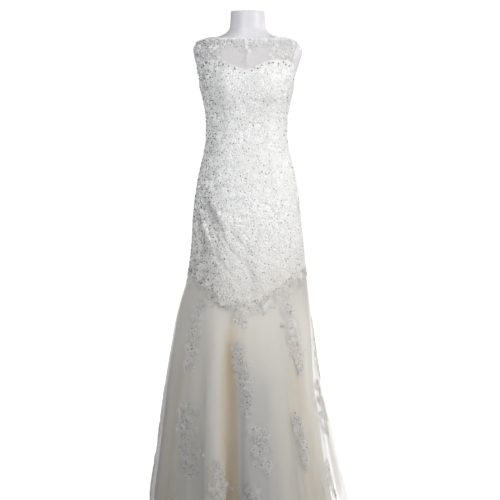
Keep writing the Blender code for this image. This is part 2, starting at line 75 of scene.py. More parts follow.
# Narrow pleats that only the finished cloth has, in the same columns.
narrowPleats = [
    (-74, -72, 2.6, 5, 430), (-46, -45, 2.4, 4, 520), (-38, -39, 2.0, 3, 350), (-17, -19, 2.2, 4, 380),
    (6, 2, 2.0, 3.5, 300), (15, 12, 2.4, 4, 470), (42.5, 43, 1.5, 3, 400), (57, 58, 1.8, 4, 430),
    (61, 61, 1.6, 3, 330), (65.5, 65, 2.2, 3.5, 460), (71, 69, 2.2, 2.5, 300), (84, 80, 2.6, 3, 420),
    (90, 87, 2.2, 2.5, 330), (113, 111, 2.2, 5, 450), (138, 136, 2.0, 4, 380), (143, 141, 1.6, 5, 300),
    (166, 165, 2.2, 5, 430), (192, 193, 2.1, 5, 460), (218, 220, 2.3, 5, 410), (223, 224, 1.6, 4, 300),
    (244, 246, 2.0, 5, 440), (268, 268, 1.8, 4, 350), (-82, -81, 2.4, 3, 300), (-8, -12.5, 3.2, 9, 800),
    (37.5, 37.5, 1.4, -5, 740), (39.8, 39.6, 1.3, 3.5, 700), (-21, -28, 2.6, -3, 700), (39, 41, 1.1, -3, 520),
    (45, 46, 1.0, -3, 560), (48.5, 49, 0.9, -2.5, 420), (53, 53.5, 1.0, -3, 500), (59, 59, 0.9, -3, 430),
    (-33, -37, 2.0, -2.5, 600),
]
# Painted shade in the skirt's folds: where the flutes are painted darker and creamier, as shade and bounced light,
# or, below 0, where the narrow pleats are painted greyer, as shade, with the tulle gathered closer: turn at the hem,
# turn at the head, half width, how much, height of the head.
foldShadeColumns = [
    (-6, -11, 9, 1.0, 800), (48, 50, 17, 0.42, 800), (-46, -46, 6, 0.25, 520), (75, 72, 9, 0.25, 700),
    (15, 12, 16, -1.0, 640), (4, -2, 6, -0.7, 700), (-20, -24, 9, -0.3, 420), (-34, -38, 9, -0.2, 500),
    (-74, -72, 10, -0.8, 640), (90, 86, 9, -0.5, 640), (115, 112, 8, -0.4, 640), (140, 138, 8, -0.4, 640),
    (167, 167, 8, -0.4, 640), (192, 193, 8, -0.4, 640), (218, 220, 8, -0.4, 640), (245, 247, 8, -0.4, 640),
    (101, 98, 9, 0.6, 740), (127, 124, 10, 0.7, 760), (153, 150, 9, 0.6, 740), (179, 180, 11, 0.9, 780),
    (205, 208, 9, 0.6, 750), (231, 234, 10, 0.7, 760), (258, 261, 9, 0.6, 740), (-61, -56, 9, 0.35, 700),
]
# Drag creases of the close-fitting part: one end as turn and height, the other end, half width, depth.
# A ridge has a negative depth.
creases = [
    (-56, 1116, -24, 975, 26, 4.5), (-68, 1065, -38, 900, 26, 5.5), (2, 935, 10, 765, 22, 3.0),
    (-62, 1112, -33, 930, 11, -3.4), (-55, 1160, -42, 1106, 9, -2.2), (-46, 1103, -22, 1000, 8, 2.4),
    (-78, 1010, -56, 872, 13, 3.2), (-70, 990, -50, 845, 9, -2.4), (-36, 960, -20, 868, 10, 2.4),
    (-15, 1006, 11, 906, 12, 2.2), (-8, 985, 6, 925, 8, -1.5), (-26, 905, -8, 836, 9, 2.0),
    (42, 1122, 29, 1084, 9, 1.6), (37, 1072, 34, 905, 10, 1.8), (54, 1010, 46, 880, 12, 2.0),
    (-50, 1290, -26, 1262, 8, 1.0), (-44, 1336, -20, 1322, 7, 0.9), (28, 1300, 48, 1286, 8, 0.9),
    (60, 1250, 40, 1222, 9, 1.3), (-72, 1240, -50, 1204, 9, 1.4), (-14, 1222, 14, 1216, 9, 1.1),
    (66, 1130, 84, 1040, 13, 2.6), (100, 1075, 122, 950, 16, 3.4), (118, 1130, 140, 1030, 12, 2.8),
    (152, 1010, 166, 880, 15, 3.0), (204, 1020, 192, 890, 14, 2.8), (232, 1120, 214, 1000, 13, 3.0),
    (256, 1080, 238, 930, 16, 3.6), (110, 1290, 134, 1270, 8, 1.0), (250, 1300, 226, 1276, 8, 1.0),
    (128, 920, 142, 812, 12, 2.4), (222, 930, 210, 822, 12, 2.4), (70, 940, 60, 842, 11, 2.2),
]
# Sharper folds that only the finished cloth has, across the wearer's right thigh.
creases += [
    (-47, 1104, -23, 1004, 7.5, 3.4), (-25, 1014, -18.5, 956, 7, 2.8), (-21, 968, 10, 846, 7.5, 2.6),
    (6, 866, 22, 756, 6.5, 2.2), (-59, 1060, -46.5, 924, 7.5, 3.2), (-50, 946, -33, 834, 7.5, 3.6),
    (-50, 1036, -29, 921, 9, -4.2), (-37, 1100, -15, 1000, 9, -3.0), (-14, 1000, 10, 906, 7, 2.0),
    (-66, 985, -52, 858, 7.5, -2.8), (-8, 905, 8, 812, 8, -1.8), (36, 880, 28, 800, 8, 1.4),
]
topEdge = {
    0: 1525, 12: 1541, 30: 1561, 46: 1559, 60: 1548, 70: 1520, 80: 1483, 90: 1467,
    100: 1483, 110: 1520, 120: 1548, 140: 1533, 160: 1520, 180: 1512,
}
neckEdge = {0: 1631, 45: 1633, 90: 1638, 135: 1626, 165: 1608, 180: 1602}
laceEdge = {0: 736, 20: 758, 40: 802, 65: 828, 90: 832, 120: 820, 150: 782, 180: 748}
armholeEdge = {1548: 60, 1565: 59.5, 1580: 58.5, 1600: 62, 1612: 70, 1618: 80, 1621: 90}
liningInset = {-180: 22, -120: 20, -85: 15, -45: 9, 0: 9, 40: 12, 70: 40, 95: 62, 130: 40, 180: 22}
formClearance = {1120: 9, 1290: 2.7, 1590: 2.5, 1622: 1.5, 1645: 1.1}

cloth = {
    "wall": 1.2, "tulleWall": 1.0, "seam": 0.3, "skirtDepth": 2.8, "liningSeam": 0.5, "liningGap": 3.5,
    "skirtLap": 32, "hemHeight": 6, "scallopDepth": 9, "scallopTurn": 7.5,
    "frontSeam": 30, "sideSeam": 90, "backSeam": 150, "armTurn": 60,
}


def slopes(x, y):
    step, rise = np.diff(x), np.diff(y) / np.diff(x)
    slope = np.zeros(len(y))
    slope[0], slope[-1] = rise[0], rise[-1]
    ahead, behind = 2 * step[1:] + step[:-1], step[1:] + 2 * step[:-1]
    climbs = rise[:-1] * rise[1:] > 0
    before, after = np.where(climbs, rise[:-1], 1), np.where(climbs, rise[1:], 1)
    slope[1:-1] = np.where(climbs, (ahead + behind) / (ahead / before + behind / after), 0)
    return slope


def smoothThrough(x, y, at):
    # a smooth curve through the points, flat past its ends
    x, y, at = np.asarray(x, float), np.asarray(y, float), np.asarray(at, float)
    slope = slopes(x, y)
    i = np.clip(np.searchsorted(x, at) - 1, 0, len(x) - 2)
    width = x[i + 1] - x[i]
    t = np.clip((at - x[i]) / width, 0, 1)
    start = (1 + 2 * t) * (1 - t) ** 2 * y[i] + t * (1 - t) ** 2 * width * slope[i]
    end = t * t * (3 - 2 * t) * y[i + 1] + t * t * (t - 1) * width * slope[i + 1]
    return start + end


def along(table, at):
    return smoothThrough(list(table), list(table.values()), at)


def turnApart(a, b):
    return (a - b + 180) % 360 - 180


def edgeHeight(table, turn):
    return along(table, np.abs(turnApart(np.asarray(turn, float), 0)))


def ramp(low, high, value):
    t = np.clip((value - low) / (high - low), 0, 1)
    return t * t * (3 - 2 * t)


def acrossColumn(turn, height, hemTurn, headTurn, halfWidth, head):
    # how far down a column of the skirt a place is, and how far from its middle, each 0 to 1
    drop = np.clip((head - height) / head, 0, 1)
    middle = headTurn + (hemTurn - headTurn) * drop
    return drop, np.clip(np.abs(turnApart(turn, middle)) / halfWidth, 0, 1)


def fluteDepth(table, turn, height):
    depth = 0
    for hemTurn, headTurn, halfWidth, deep, head in table:
        drop, across = acrossColumn(turn, height, hemTurn, headTurn, halfWidth, head)
        depth = depth + deep * drop * (1 - np.exp(-drop * 6)) * np.cos(across * math.pi / 2) ** 2
    return depth


# how much painted fold shade a place gets: above 0 darker and creamier, below 0 greyer
def foldShadeShare(turn, height):
    share = 0
    for hemTurn, headTurn, halfWidth, much, head in foldShadeColumns:
        drop, across = acrossColumn(turn, height, hemTurn, headTurn, halfWidth, head)
        share = share + much * ramp(0, 0.3, drop) * np.cos(across * math.pi / 2) ** 1.2
    return np.clip(share, -1, 1)


def creaseDepth(turn, height):
    depth = 0
    arc = math.radians(1) * 190      # mm to a degree over the thigh
    for startTurn, startHeight, endTurn, endHeight, halfWidth, deep in creases:
        alongX, alongY = (endTurn - startTurn) * arc, endHeight - startHeight
        x, y = turnApart(turn, startTurn) * arc, height - startHeight
        t = np.clip((x * alongX + y * alongY) / (alongX ** 2 + alongY ** 2), 0, 1)
        away = np.hypot(x - t * alongX, y - t * alongY)
        softEnds = np.sin(np.clip(t, 0.04, 0.96) * math.pi) ** 0.5
        depth = depth + deep * softEnds * np.exp(-(away / halfWidth) ** 2 * 2)
    return depth


def outline(turn, height, draped=True):
    turn, height = np.broadcast_arrays(np.asarray(turn, float), np.asarray(height, float))
    rows = [s[0] for s in sections]
    left, right, front, back, square = (
        smoothThrough(rows, [s[k] for s in sections], height) for k in range(1, 6)
    )
    across, ahead = np.sin(np.radians(turn)), np.cos(np.radians(turn))
    power = 2 / square
    sunk = 0
    if draped:
        sunk = fluteDepth(flutes, turn, height) + fluteDepth(narrowPleats, turn, height)
        sunk = sunk + creaseDepth(turn, height)
    x = np.sign(across) * np.abs(across) ** power * (np.where(across > 0, left, right) - sunk)
    y = -np.sign(ahead) * np.abs(ahead) ** power * (np.where(ahead > 0, front, back) - sunk)
    for middle in (-cup["across"], cup["across"]):
        roundOff = ((x - middle) / cup["halfWidth"]) ** 2
        roundOff = roundOff + ((height - cup["height"]) / cup["halfHeight"]) ** 2
        y = y - cup["forward"] * np.exp(-roundOff) * ramp(0, 0.4, ahead)
    return np.stack([x, y, height], axis=-1)


def outward(turn, height, draped=True):
    roundStep = outline(turn + 0.5, height, draped) - outline(turn - 0.5, height, draped)
    upStep = outline(turn, height + 1.5, draped) - outline(turn, height - 1.5, draped)
    normal = np.cross(roundStep, upStep)
    return normal / np.linalg.norm(normal, axis=-1, keepdims=True)


def below(turn, height, depth, draped=True):
    depth = np.broadcast_to(np.asarray(depth, float), np.shape(turn))
    return outline(turn, height, draped) - outward(turn, height, draped) * depth[..., None]


def degreeLength(turn, height):
    # mm round the outline for one degree
    return np.linalg.norm(outline(turn + 0.5, height) - outline(turn - 0.5, height), axis=-1)


def seamGap(turn, height):
    return cloth["seam"] / 2 / degreeLength(turn, height)


def turnsBetween(first, last, shares, heights, gap=1.0):
    low = first + seamGap(first, heights) * gap
    high = last - seamGap(last, heights) * gap
    return low + (high - low) * shares


# Meshes from grids of points

hosts = {}       # outer faces of the cloth, by group, that the lace is laid on


def clearSelection():
    for thing in bpy.context.selected_objects:
        thing.select_set(False)


def meshObject(name, points, faces, looks, faceLooks=None, sharpAngle=50):
    mesh = bpy.data.meshes.new(name)
    points = np.asarray(points, float) * mm
    if isinstance(faces, list):
        mesh.from_pydata(points, [], faces)
    else:
        mesh.vertices.add(len(points))
        mesh.vertices.foreach_set("co", points.astype(np.float32).ravel())
        mesh.loops.add(faces.size)
        mesh.loops.foreach_set("vertex_index", faces.astype(np.int32).ravel())
        mesh.polygons.add(len(faces))
        mesh.polygons.foreach_set("loop_start", np.arange(0, faces.size, faces.shape[1], dtype=np.int32))
        mesh.update(calc_edges=True)
    for look in looks:
        mesh.materials.append(look)
    if faceLooks is not None:
        mesh.polygons.foreach_set("material_index", np.asarray(faceLooks, np.int32))
    mesh.shade_smooth()
    if sharpAngle:
        mesh.set_sharp_from_angle(angle=math.radians(sharpAngle))
    mesh.update()
    made = bpy.data.objects.new(name, mesh)
    bpy.context.scene.collection.objects.link(made)
    return made


def gridQuads(rows, columns):
    a = (np.arange(rows - 1)[:, None] * columns + np.arange(columns - 1)[None, :]).ravel()
    return np.stack([a, a + 1, a + columns + 1, a + columns], axis=1)


def clothGrid(outer):
    # widths and lengths over a grid of points, as flat cloth: mm across and up from its middle
    across = np.linalg.norm(np.diff(outer, axis=1), axis=-1)
    up = np.linalg.norm(np.diff(outer, axis=0), axis=-1)
    u = np.concatenate([np.zeros((outer.shape[0], 1)), np.cumsum(across, axis=1)], axis=1)
    v = np.concatenate([np.zeros((1, outer.shape[1])), np.cumsum(up, axis=0)], axis=0)
    middle = outer.shape[1] // 2
    return u - u[:, middle:middle + 1], v


def markPoints(made, name, values):
    attribute = made.data.attributes.new(name, "FLOAT", "POINT")
    attribute.data.foreach_set("value", np.asarray(values, np.float32).ravel())


def clothShell(name, outer, inner, looks, tint=None, group=None, node=None,
               crease=None):
    # a closed wall between two grids, whose columns run round towards +X from the front
    rows, columns = outer.shape[:2]
    back = rows * columns
    quads = gridQuads(rows, columns)
    rim = list(range(columns))
    rim += [r * columns + columns - 1 for r in range(1, rows)]
    rim += [(rows - 1) * columns + c for c in range(columns - 2, -1, -1)]
    rim += [r * columns for r in range(rows - 2, 0, -1)]
    rim = np.array(rim)
    nextRim = np.roll(rim, -1)
    sides = np.stack([nextRim, rim, back + rim, back + nextRim], axis=1)
    faces = np.concatenate([quads, back + quads[:, [0, 3, 2, 1]], sides])
    points = np.concatenate([outer.reshape(-1, 3), inner.reshape(-1, 3)])
    made = meshObject(name, points, faces, looks)
    u, v = clothGrid(outer)
    flat = np.stack([u.ravel(), v.ravel()], axis=1) * mm
    flat = np.concatenate([flat, flat])
    layer = made.data.uv_layers.new(name="clothMap")
    layer.data.foreach_set("uv", flat[faces.ravel()].astype(np.float32).ravel())
    for label, values in (("fold", tint), ("crease", crease)):
        if values is not None:
            markPoints(made, label, np.concatenate([np.ravel(values)] * 2))
    if group:
        hosts.setdefault(group, []).append(outer)
    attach(made, "root")
    if node:
        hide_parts(node)
    return made


def groupTree(*groups):
    points, faces, start = [], [], 0
    for group in groups:
        for outer in hosts[group]:
            rows, columns = outer.shape[:2]
            points.append(outer.reshape(-1, 3))
            faces.append(gridQuads(rows, columns) + start)
            start += rows * columns
    return BVHTree.FromPolygons(np.concatenate(points).tolist(), np.concatenate(faces).tolist())


# Shader node groups: each gives a mask that changes over the surface

class nodeSheet:
    # a short way to place and join shader nodes
    def __init__(self, tree):
        self.tree = tree

    def add(self, kind, **values):
        node = self.tree.nodes.new(kind)
        inputs = {k[3:]: v for k, v in values.items() if k.startswith("in_")}
        for key, value in values.items():
            if not key.startswith("in_"):
                setattr(node, key, value)
        for key, value in inputs.items():
            socket = node.inputs[int(key) if key.isdigit() else key.replace("_", " ")]
            self.feed(socket, value)
        return node

    def feed(self, socket, value):
        if isinstance(value, bpy.types.NodeSocket):
            self.tree.links.new(value, socket)
        else:
            socket.default_value = value

    def math(self, operation, first, second=0.0, clamp=False):
        return self.add("ShaderNodeMath", operation=operation, use_clamp=clamp, in_0=first, in_1=second).outputs[0]

    def attribute(self, name):
        return self.add("ShaderNodeAttribute", attribute_name=name).outputs["Fac"]

    def clothPlace(self):
        return self.add("ShaderNodeUVMap", uv_map="clothMap").outputs[0]

    def objectPlace(self):
        return self.add("ShaderNodeTexCoord").outputs["Object"]

    def mixColour(self, share, first, second, blend="MIX"):
        node = self.add("ShaderNodeMix", data_type="RGBA", blend_type=blend, clamp_factor=True)
        self.feed(node.inputs[0], share)
        self.feed(node.inputs[6], first)
        self.feed(node.inputs[7], second)
        return node.outputs[2]

    def spread(self, value, low, high, toLow=0.0, toHigh=1.0):
        return self.add("ShaderNodeMapRange", in_0=value, in_1=low, in_2=high, in_3=toLow, in_4=toHigh).outputs[0]


def maskGroup(name, inputs, outputs=("Mask",)):
    tree = bpy.data.node_groups.new(name, "ShaderNodeTree")
    for label, kind, value in inputs:
        socket = tree.interface.new_socket(name=label, in_out="INPUT", socket_type=kind)
        if value is not None:
            socket.default_value = value
    for label in outputs:
        tree.interface.new_socket(name=label, in_out="OUTPUT", socket_type="NodeSocketFloat")
    sheet = nodeSheet(tree)
    return sheet, tree.nodes.new("NodeGroupInput"), tree.nodes.new("NodeGroupOutput")


def makeNetMesh():
    # fine diamond net: 1 on a thread, 0 in a hole
    sheet, given, result = maskGroup("netMesh", [
        ("Vector", "NodeSocketVector", None), ("Cells", "NodeSocketFloat", 650.0),
        ("Thread", "NodeSocketFloat", 0.3),
    ])
    parts = sheet.add("ShaderNodeSeparateXYZ", in_0=given.outputs["Vector"])
    x = sheet.math("MULTIPLY", parts.outputs[0], given.outputs["Cells"])
    y = sheet.math("MULTIPLY", parts.outputs[1], given.outputs["Cells"])
    threads = []
    for operation in ("ADD", "SUBTRACT"):
        wave = sheet.math("PINGPONG", sheet.math(operation, x, y), 0.5)
        threads.append(sheet.math("LESS_THAN", wave, sheet.math("MULTIPLY", given.outputs["Thread"], 0.5)))
    sheet.feed(result.inputs["Mask"], sheet.math("MAXIMUM", *threads))
    return sheet.tree


def makeThreadFleck():
    # uneven brightness and height of threads, at two sizes
    sheet, given, result = maskGroup("threadFleck", [
        ("Vector", "NodeSocketVector", None), ("Scale", "NodeSocketFloat", 400.0),
        ("Stretch", "NodeSocketFloat", 1.0),
    ], ("Mask", "Cloud"))
    squeeze = sheet.add("ShaderNodeCombineXYZ", in_0=1.0, in_1=given.outputs["Stretch"], in_2=1.0).outputs[0]
    place = sheet.add("ShaderNodeVectorMath", operation="MULTIPLY", in_0=given.outputs["Vector"],
                      in_1=squeeze).outputs[0]
    fine = sheet.add("ShaderNodeTexNoise", in_Vector=place, in_Scale=given.outputs["Scale"], in_Detail=3.0)
    wide = sheet.add("ShaderNodeTexNoise", in_Vector=place, in_Detail=2.0,
                     in_Scale=sheet.math("MULTIPLY", given.outputs["Scale"], 0.06))
    sheet.feed(result.inputs["Mask"], fine.outputs["Fac"])
    sheet.feed(result.inputs["Cloud"], wide.outputs["Fac"])
    return sheet.tree


def makeClothwork():
    # dense embroidery between the cords: worm-like islands with darker gaps
    sheet, given, result = maskGroup("clothwork", [
        ("Vector", "NodeSocketVector", None), ("Size", "NodeSocketFloat", 0.007),
    ], ("Mask", "Gap"))
    scale = sheet.math("DIVIDE", 1.0, given.outputs["Size"])
    swirl = sheet.add("ShaderNodeTexNoise", in_Vector=given.outputs["Vector"],
                      in_Scale=sheet.math("MULTIPLY", scale, 0.7))
    bent = sheet.add("ShaderNodeVectorMath", operation="SCALE", in_0=swirl.outputs["Color"])
    sheet.feed(bent.inputs["Scale"], sheet.math("MULTIPLY", given.outputs["Size"], 1.1))
    place = sheet.add("ShaderNodeVectorMath", operation="ADD", in_0=given.outputs["Vector"], in_1=bent.outputs[0])
    cells = sheet.add("ShaderNodeTexVoronoi", feature="DISTANCE_TO_EDGE", in_Vector=place.outputs[0], in_Scale=scale)
    stitch = sheet.add("ShaderNodeTexWave", wave_type="BANDS", bands_direction="DIAGONAL",
                       in_Vector=place.outputs[0], in_Scale=sheet.math("MULTIPLY", scale, 2.2), in_Distortion=3.0)
    island = sheet.spread(cells.outputs["Distance"], 0.06, 0.22)
    sheet.feed(result.inputs["Gap"], sheet.math("SUBTRACT", 1.0, island))
    stitched = sheet.spread(stitch.outputs["Fac"], 0, 1, 0.72, 1.0)
    sheet.feed(result.inputs["Mask"], sheet.math("MULTIPLY", island, stitched))
    return sheet.tree


netMesh, threadFleck, clothwork = makeNetMesh(), makeThreadFleck(), makeClothwork()


# Materials

def newMaterial(name):
    material = bpy.data.materials.new(name)
    material.use_nodes = True
    sheet = nodeSheet(material.node_tree)
    return material, sheet, material.node_tree.nodes["Principled BSDF"]


def groupNode(sheet, tree, **values):
    node = sheet.add("ShaderNodeGroup", node_tree=tree)
    for key, value in values.items():
        sheet.feed(node.inputs[key], value)
    return node


def colour(red, green, blue):
    return (red, green, blue, 1)


def bumped(sheet, shader, height, distance, strength=1.0):
    bump = sheet.add("ShaderNodeBump", in_Strength=strength, in_Distance=distance, in_Height=height)
    sheet.feed(shader.inputs["Normal"], bump.outputs[0])


def laceGroundMaterial():
    # embroidered lace over its lining: pale islands, greyer gaps, fine net
    look = {"pale": colour(0.95, 0.95, 0.95), "gap": colour(0.66, 0.66, 0.66), "warm": colour(0.95, 0.94, 0.915),
            "thin": colour(0.66, 0.64, 0.60), "creaseShade": colour(0.42, 0.41, 0.40), "dark": colour(0.34, 0.34, 0.345)}
    material, sheet, shader = newMaterial("laceGround")
    place = sheet.clothPlace()
    work = groupNode(sheet, clothwork, Vector=place, Size=0.0085)
    fleck = groupNode(sheet, threadFleck, Vector=place, Scale=520.0)
    net = groupNode(sheet, netMesh, Vector=place, Cells=420.0, Thread=0.45)
    base = sheet.mixColour(work.outputs["Gap"], look["pale"], look["gap"])
    base = sheet.mixColour(sheet.spread(fleck.outputs["Cloud"], 0.42, 0.66, 0.0, 0.5), base, look["warm"])
    near = sheet.attribute("fold")
    thinned = sheet.math("MULTIPLY", near, sheet.spread(work.outputs["Gap"], 0.0, 0.6, 0.75, 1.0))
    base = sheet.mixColour(thinned, base, look["thin"])
    # painted shade: the ground is darker down in the drag creases
    crease = sheet.attribute("crease")
    base = sheet.mixColour(sheet.spread(crease, 0.8, 6.5, 0.0, 0.75), base, look["creaseShade"])
    # painted shade: the gaps between the islands are darker towards the wearer's right, the side away from the key
    # light
    across = sheet.add("ShaderNodeSeparateXYZ", in_0=sheet.objectPlace()).outputs[0]
    rightShade = sheet.math("MULTIPLY", sheet.spread(across, -0.05, -0.14),
                        sheet.spread(fleck.outputs["Cloud"], 0.42, 0.54))
    rightShade = sheet.math("MULTIPLY", rightShade, sheet.spread(work.outputs["Gap"], 0.1, 0.7))
    base = sheet.mixColour(rightShade, base, look["dark"])
    shade = sheet.spread(fleck.outputs["Mask"], 0.35, 0.65, 0.9, 1.0)
    shades = sheet.add("ShaderNodeCombineColor", in_0=shade, in_1=shade, in_2=shade).outputs[0]
    base = sheet.mixColour(1.0, base, shades, "MULTIPLY")
    sheet.feed(shader.inputs["Base Color"], base)
    sheet.feed(shader.inputs["Roughness"], sheet.spread(work.outputs["Mask"], 0, 1, 0.8, 0.55))
    shader.inputs["Sheen Weight"].default_value = 0.15
    height = sheet.math("ADD", work.outputs["Mask"], sheet.math("MULTIPLY", net.outputs[0], 0.25))
    bumped(sheet, shader, height, 0.0009)
    # unlined along the lower edge: there the net between the islands is sheer
    sheerNet = groupNode(sheet, netMesh, Vector=place, Cells=420.0, Thread=0.16)
    kept = sheet.math("MAXIMUM", sheerNet.outputs[0], sheet.spread(work.outputs["Mask"], 0.45, 0.6))
    sheet.feed(shader.inputs["Alpha"], sheet.math("MAXIMUM", kept, sheet.spread(near, 0.88, 0.96, 1.0, 0.0)))
    return material


def cordMaterial(name, pale, grey, roughness, low=None):
    # raised silky cord, with its twist; painted shade makes it darker and warmer towards the lower edge, greyer down
    # in a crease and greyer towards the wearer's right
    material, sheet, shader = newMaterial(name)
    place = sheet.objectPlace()
    fleck = groupNode(sheet, threadFleck, Vector=place, Scale=900.0)
    base = sheet.mixColour(sheet.spread(fleck.outputs["Cloud"], 0.35, 0.7), pale, grey)
    if low:
        parts = sheet.add("ShaderNodeSeparateXYZ", in_0=place)
        # painted shade: darker and warmer lower down, where less light reaches
        base = sheet.mixColour(sheet.spread(parts.outputs[2], 1.05, 0.80), base, low)
        # painted shade: flecks greyer towards the wearer's right, away from the key light
        rightShade = sheet.math("MULTIPLY", sheet.spread(parts.outputs[0], -0.07, -0.16, 0.0, 0.7),
                            sheet.spread(fleck.outputs["Cloud"], 0.46, 0.52))
        base = sheet.mixColour(rightShade, base, colour(0.55, 0.55, 0.555))
        # painted shade: greyer down in the drag creases
        crease = sheet.attribute("crease")
        base = sheet.mixColour(sheet.spread(crease, 0.8, 6.5, 0.0, 0.6), base, colour(0.50, 0.49, 0.48))
    sheet.feed(shader.inputs["Base Color"], base)
    sheet.feed(shader.inputs["Roughness"],
               sheet.spread(fleck.outputs["Mask"], 0.3, 0.7, roughness - 0.12, roughness + 0.12))
    shader.inputs["Sheen Weight"].default_value = 0.2
    twist = sheet.add("ShaderNodeTexWave", bands_direction="DIAGONAL", in_Vector=place, in_Scale=420.0,
                      in_Distortion=2.0)
    bumped(sheet, shader, twist.outputs["Fac"], 0.0003)
    return material


def fleckedMaterial(name, scale, pale, dark, finish, mask="Mask", span=(0.35, 0.65)):
    # two near colours and two near finishes, over a fine fleck
    material, sheet, shader = newMaterial(name)
    fleck = groupNode(sheet, threadFleck, Vector=sheet.objectPlace(), Scale=scale)
    sheet.feed(shader.inputs["Base Color"], sheet.mixColour(sheet.spread(fleck.outputs[mask], *span), pale, dark))
    sheet.feed(shader.inputs["Roughness"], sheet.spread(fleck.outputs["Mask"], 0.3, 0.7, *finish))
    return material, sheet, shader, fleck


def openPetalMaterial():
    # a few stitches inside an open petal, that let the tulle show
    material, sheet, shader, fleck = fleckedMaterial(
        "openPetal", 700.0, colour(0.92, 0.92, 0.92), colour(0.80, 0.80, 0.81), (0.55, 0.75), "Cloud", (0.35, 0.7))
    net = groupNode(sheet, netMesh, Vector=sheet.objectPlace(), Cells=520.0, Thread=0.3)
    stitches = sheet.spread(fleck.outputs["Mask"], 0.5, 0.62)
    sheet.feed(shader.inputs["Alpha"], sheet.math("MAXIMUM", net.outputs[0], stitches))
    return material


def netMaterial(name, thread, cells, width, roughness=0.85, cloudy=(1.0, 1.0)):
    # sheer net: the holes let through what lies behind
    material, sheet, shader = newMaterial(name)
    place = sheet.clothPlace()
    net = groupNode(sheet, netMesh, Vector=place, Cells=cells, Thread=width)
    fleck = groupNode(sheet, threadFleck, Vector=place, Scale=500.0)
    base = sheet.mixColour(sheet.spread(fleck.outputs["Mask"], 0.35, 0.65), thread,
                           tuple(c * 0.9 for c in thread[:3]) + (1,))
    sheet.feed(shader.inputs["Base Color"], base)
    shader.inputs["Roughness"].default_value = roughness
    shader.inputs["Sheen Weight"].default_value = 0.25
    density = sheet.spread(fleck.outputs["Cloud"], 0.35, 0.65, *cloudy)
    sheet.feed(shader.inputs["Alpha"], sheet.math("MULTIPLY", net.outputs[0], density))
    bumped(sheet, shader, net.outputs[0], 0.0002)
    return material


def tulleMaterial():
    # soft bridal tulle: denser and painted greyer where it stands in crests, thinner and painted darker and creamier
    # in the flutes, as painted shade and bounced light
    look = {"crest": colour(0.74, 0.725, 0.695), "flute": colour(0.70, 0.625, 0.50),
            "dense": colour(0.60, 0.595, 0.595),
            "thread": 0.17, "fluteThread": 0.11, "denseThread": 0.26, "sheerThread": 0.09,
            "sheer": colour(0.95, 0.94, 0.915)}
    material, sheet, shader = newMaterial("tulle")
    place = sheet.clothPlace()
    fold = sheet.attribute("fold")
    fleck = groupNode(sheet, threadFleck, Vector=place, Scale=260.0, Stretch=0.25)
    width = sheet.math("ADD", sheet.spread(fold, 0.05, 0.9, look["thread"], look["fluteThread"]),
                       sheet.spread(fold, 0.0, -1.0, 0.0, look["denseThread"] - look["thread"]))
    apart = sheet.attribute("crease")
    width = sheet.add("ShaderNodeMix", data_type="FLOAT", in_0=apart, in_2=width, in_3=look["sheerThread"]).outputs[0]
    net = groupNode(sheet, netMesh, Vector=place, Cells=560.0, Thread=width)
    # painted shade: the flute colour darkens and warms the tulle in the flutes, the dense colour greys it in the
    # narrow pleats
    base = sheet.mixColour(sheet.spread(fold, 0.1, 0.8), look["crest"], look["flute"])
    base = sheet.mixColour(sheet.spread(fold, 0.0, -0.9), base, look["dense"])
    base = sheet.mixColour(sheet.spread(fleck.outputs["Mask"], 0.4, 0.7, 0.0, 0.25), base, colour(0.66, 0.65, 0.63))
    base = sheet.mixColour(apart, base, look["sheer"])
    sheet.feed(shader.inputs["Base Color"], base)
    shader.inputs["Roughness"].default_value = 0.8
    shader.inputs["Sheen Weight"].default_value = 0.3
    sheet.feed(shader.inputs["Alpha"], net.outputs[0])
    bumped(sheet, shader, net.outputs[0], 0.0002)
    return material


def satinMaterial(name="satin", body=colour(0.77, 0.74, 0.685), valley=colour(0.58, 0.475, 0.325)):
    # smooth satin with faint slubs along the cloth, painted darker and creamier in the flutes as shade and bounced
    # light
    material, sheet, shader = newMaterial(name)
    place = sheet.clothPlace()
    fold = sheet.attribute("fold")
    fleck = groupNode(sheet, threadFleck, Vector=place, Scale=700.0, Stretch=0.12)
    # painted shade: the valley colour darkens and warms the satin down in the flutes
    base = sheet.mixColour(sheet.spread(fold, 0.12, 0.9), body, valley)
    base = sheet.mixColour(sheet.spread(fleck.outputs["Cloud"], 0.4, 0.65, 0.0, 0.3), base,
                           tuple(c * 0.86 for c in body[:3]) + (1,))
    sheet.feed(shader.inputs["Base Color"], base)
    sheet.feed(shader.inputs["Roughness"], sheet.spread(fleck.outputs["Mask"], 0.3, 0.7, 0.34, 0.5))
    shader.inputs["Sheen Weight"].default_value = 0.1
    weave = sheet.add("ShaderNodeTexWave", in_Vector=place, in_Scale=600.0, in_Distortion=1.0)
    height = sheet.math("ADD", sheet.math("MULTIPLY", weave.outputs["Fac"], 0.3), fleck.outputs["Mask"])
    bumped(sheet, shader, height, 0.0003)
    return material


def buttonMaterial():
    # satin pulled over a domed button
    material, sheet, shader, _ = fleckedMaterial(
        "buttonSatin", 900.0, colour(0.90, 0.895, 0.88), colour(0.80, 0.795, 0.78), (0.32, 0.46))
    weave = sheet.add("ShaderNodeTexWave", bands_direction="DIAGONAL", in_Vector=sheet.objectPlace(),
                      in_Scale=700.0, in_Distortion=1.0)
    bumped(sheet, shader, weave.outputs["Fac"], 0.0002)
    return material


def formMaterial():
    # glossy moulded shell, a cool pinkish grey
    material, sheet, shader, fleck = fleckedMaterial(
        "formShell", 90.0, colour(0.575, 0.565, 0.605), colour(0.62, 0.605, 0.635), (0.42, 0.52), "Cloud", (0.3, 0.7))
    shader.inputs["Specular IOR Level"].default_value = 0.4
    shader.inputs["Coat Weight"].default_value = 0.08
    shader.inputs["Coat Roughness"].default_value = 0.25
    bumped(sheet, shader, fleck.outputs["Mask"], 0.0002, 0.5)
    return material


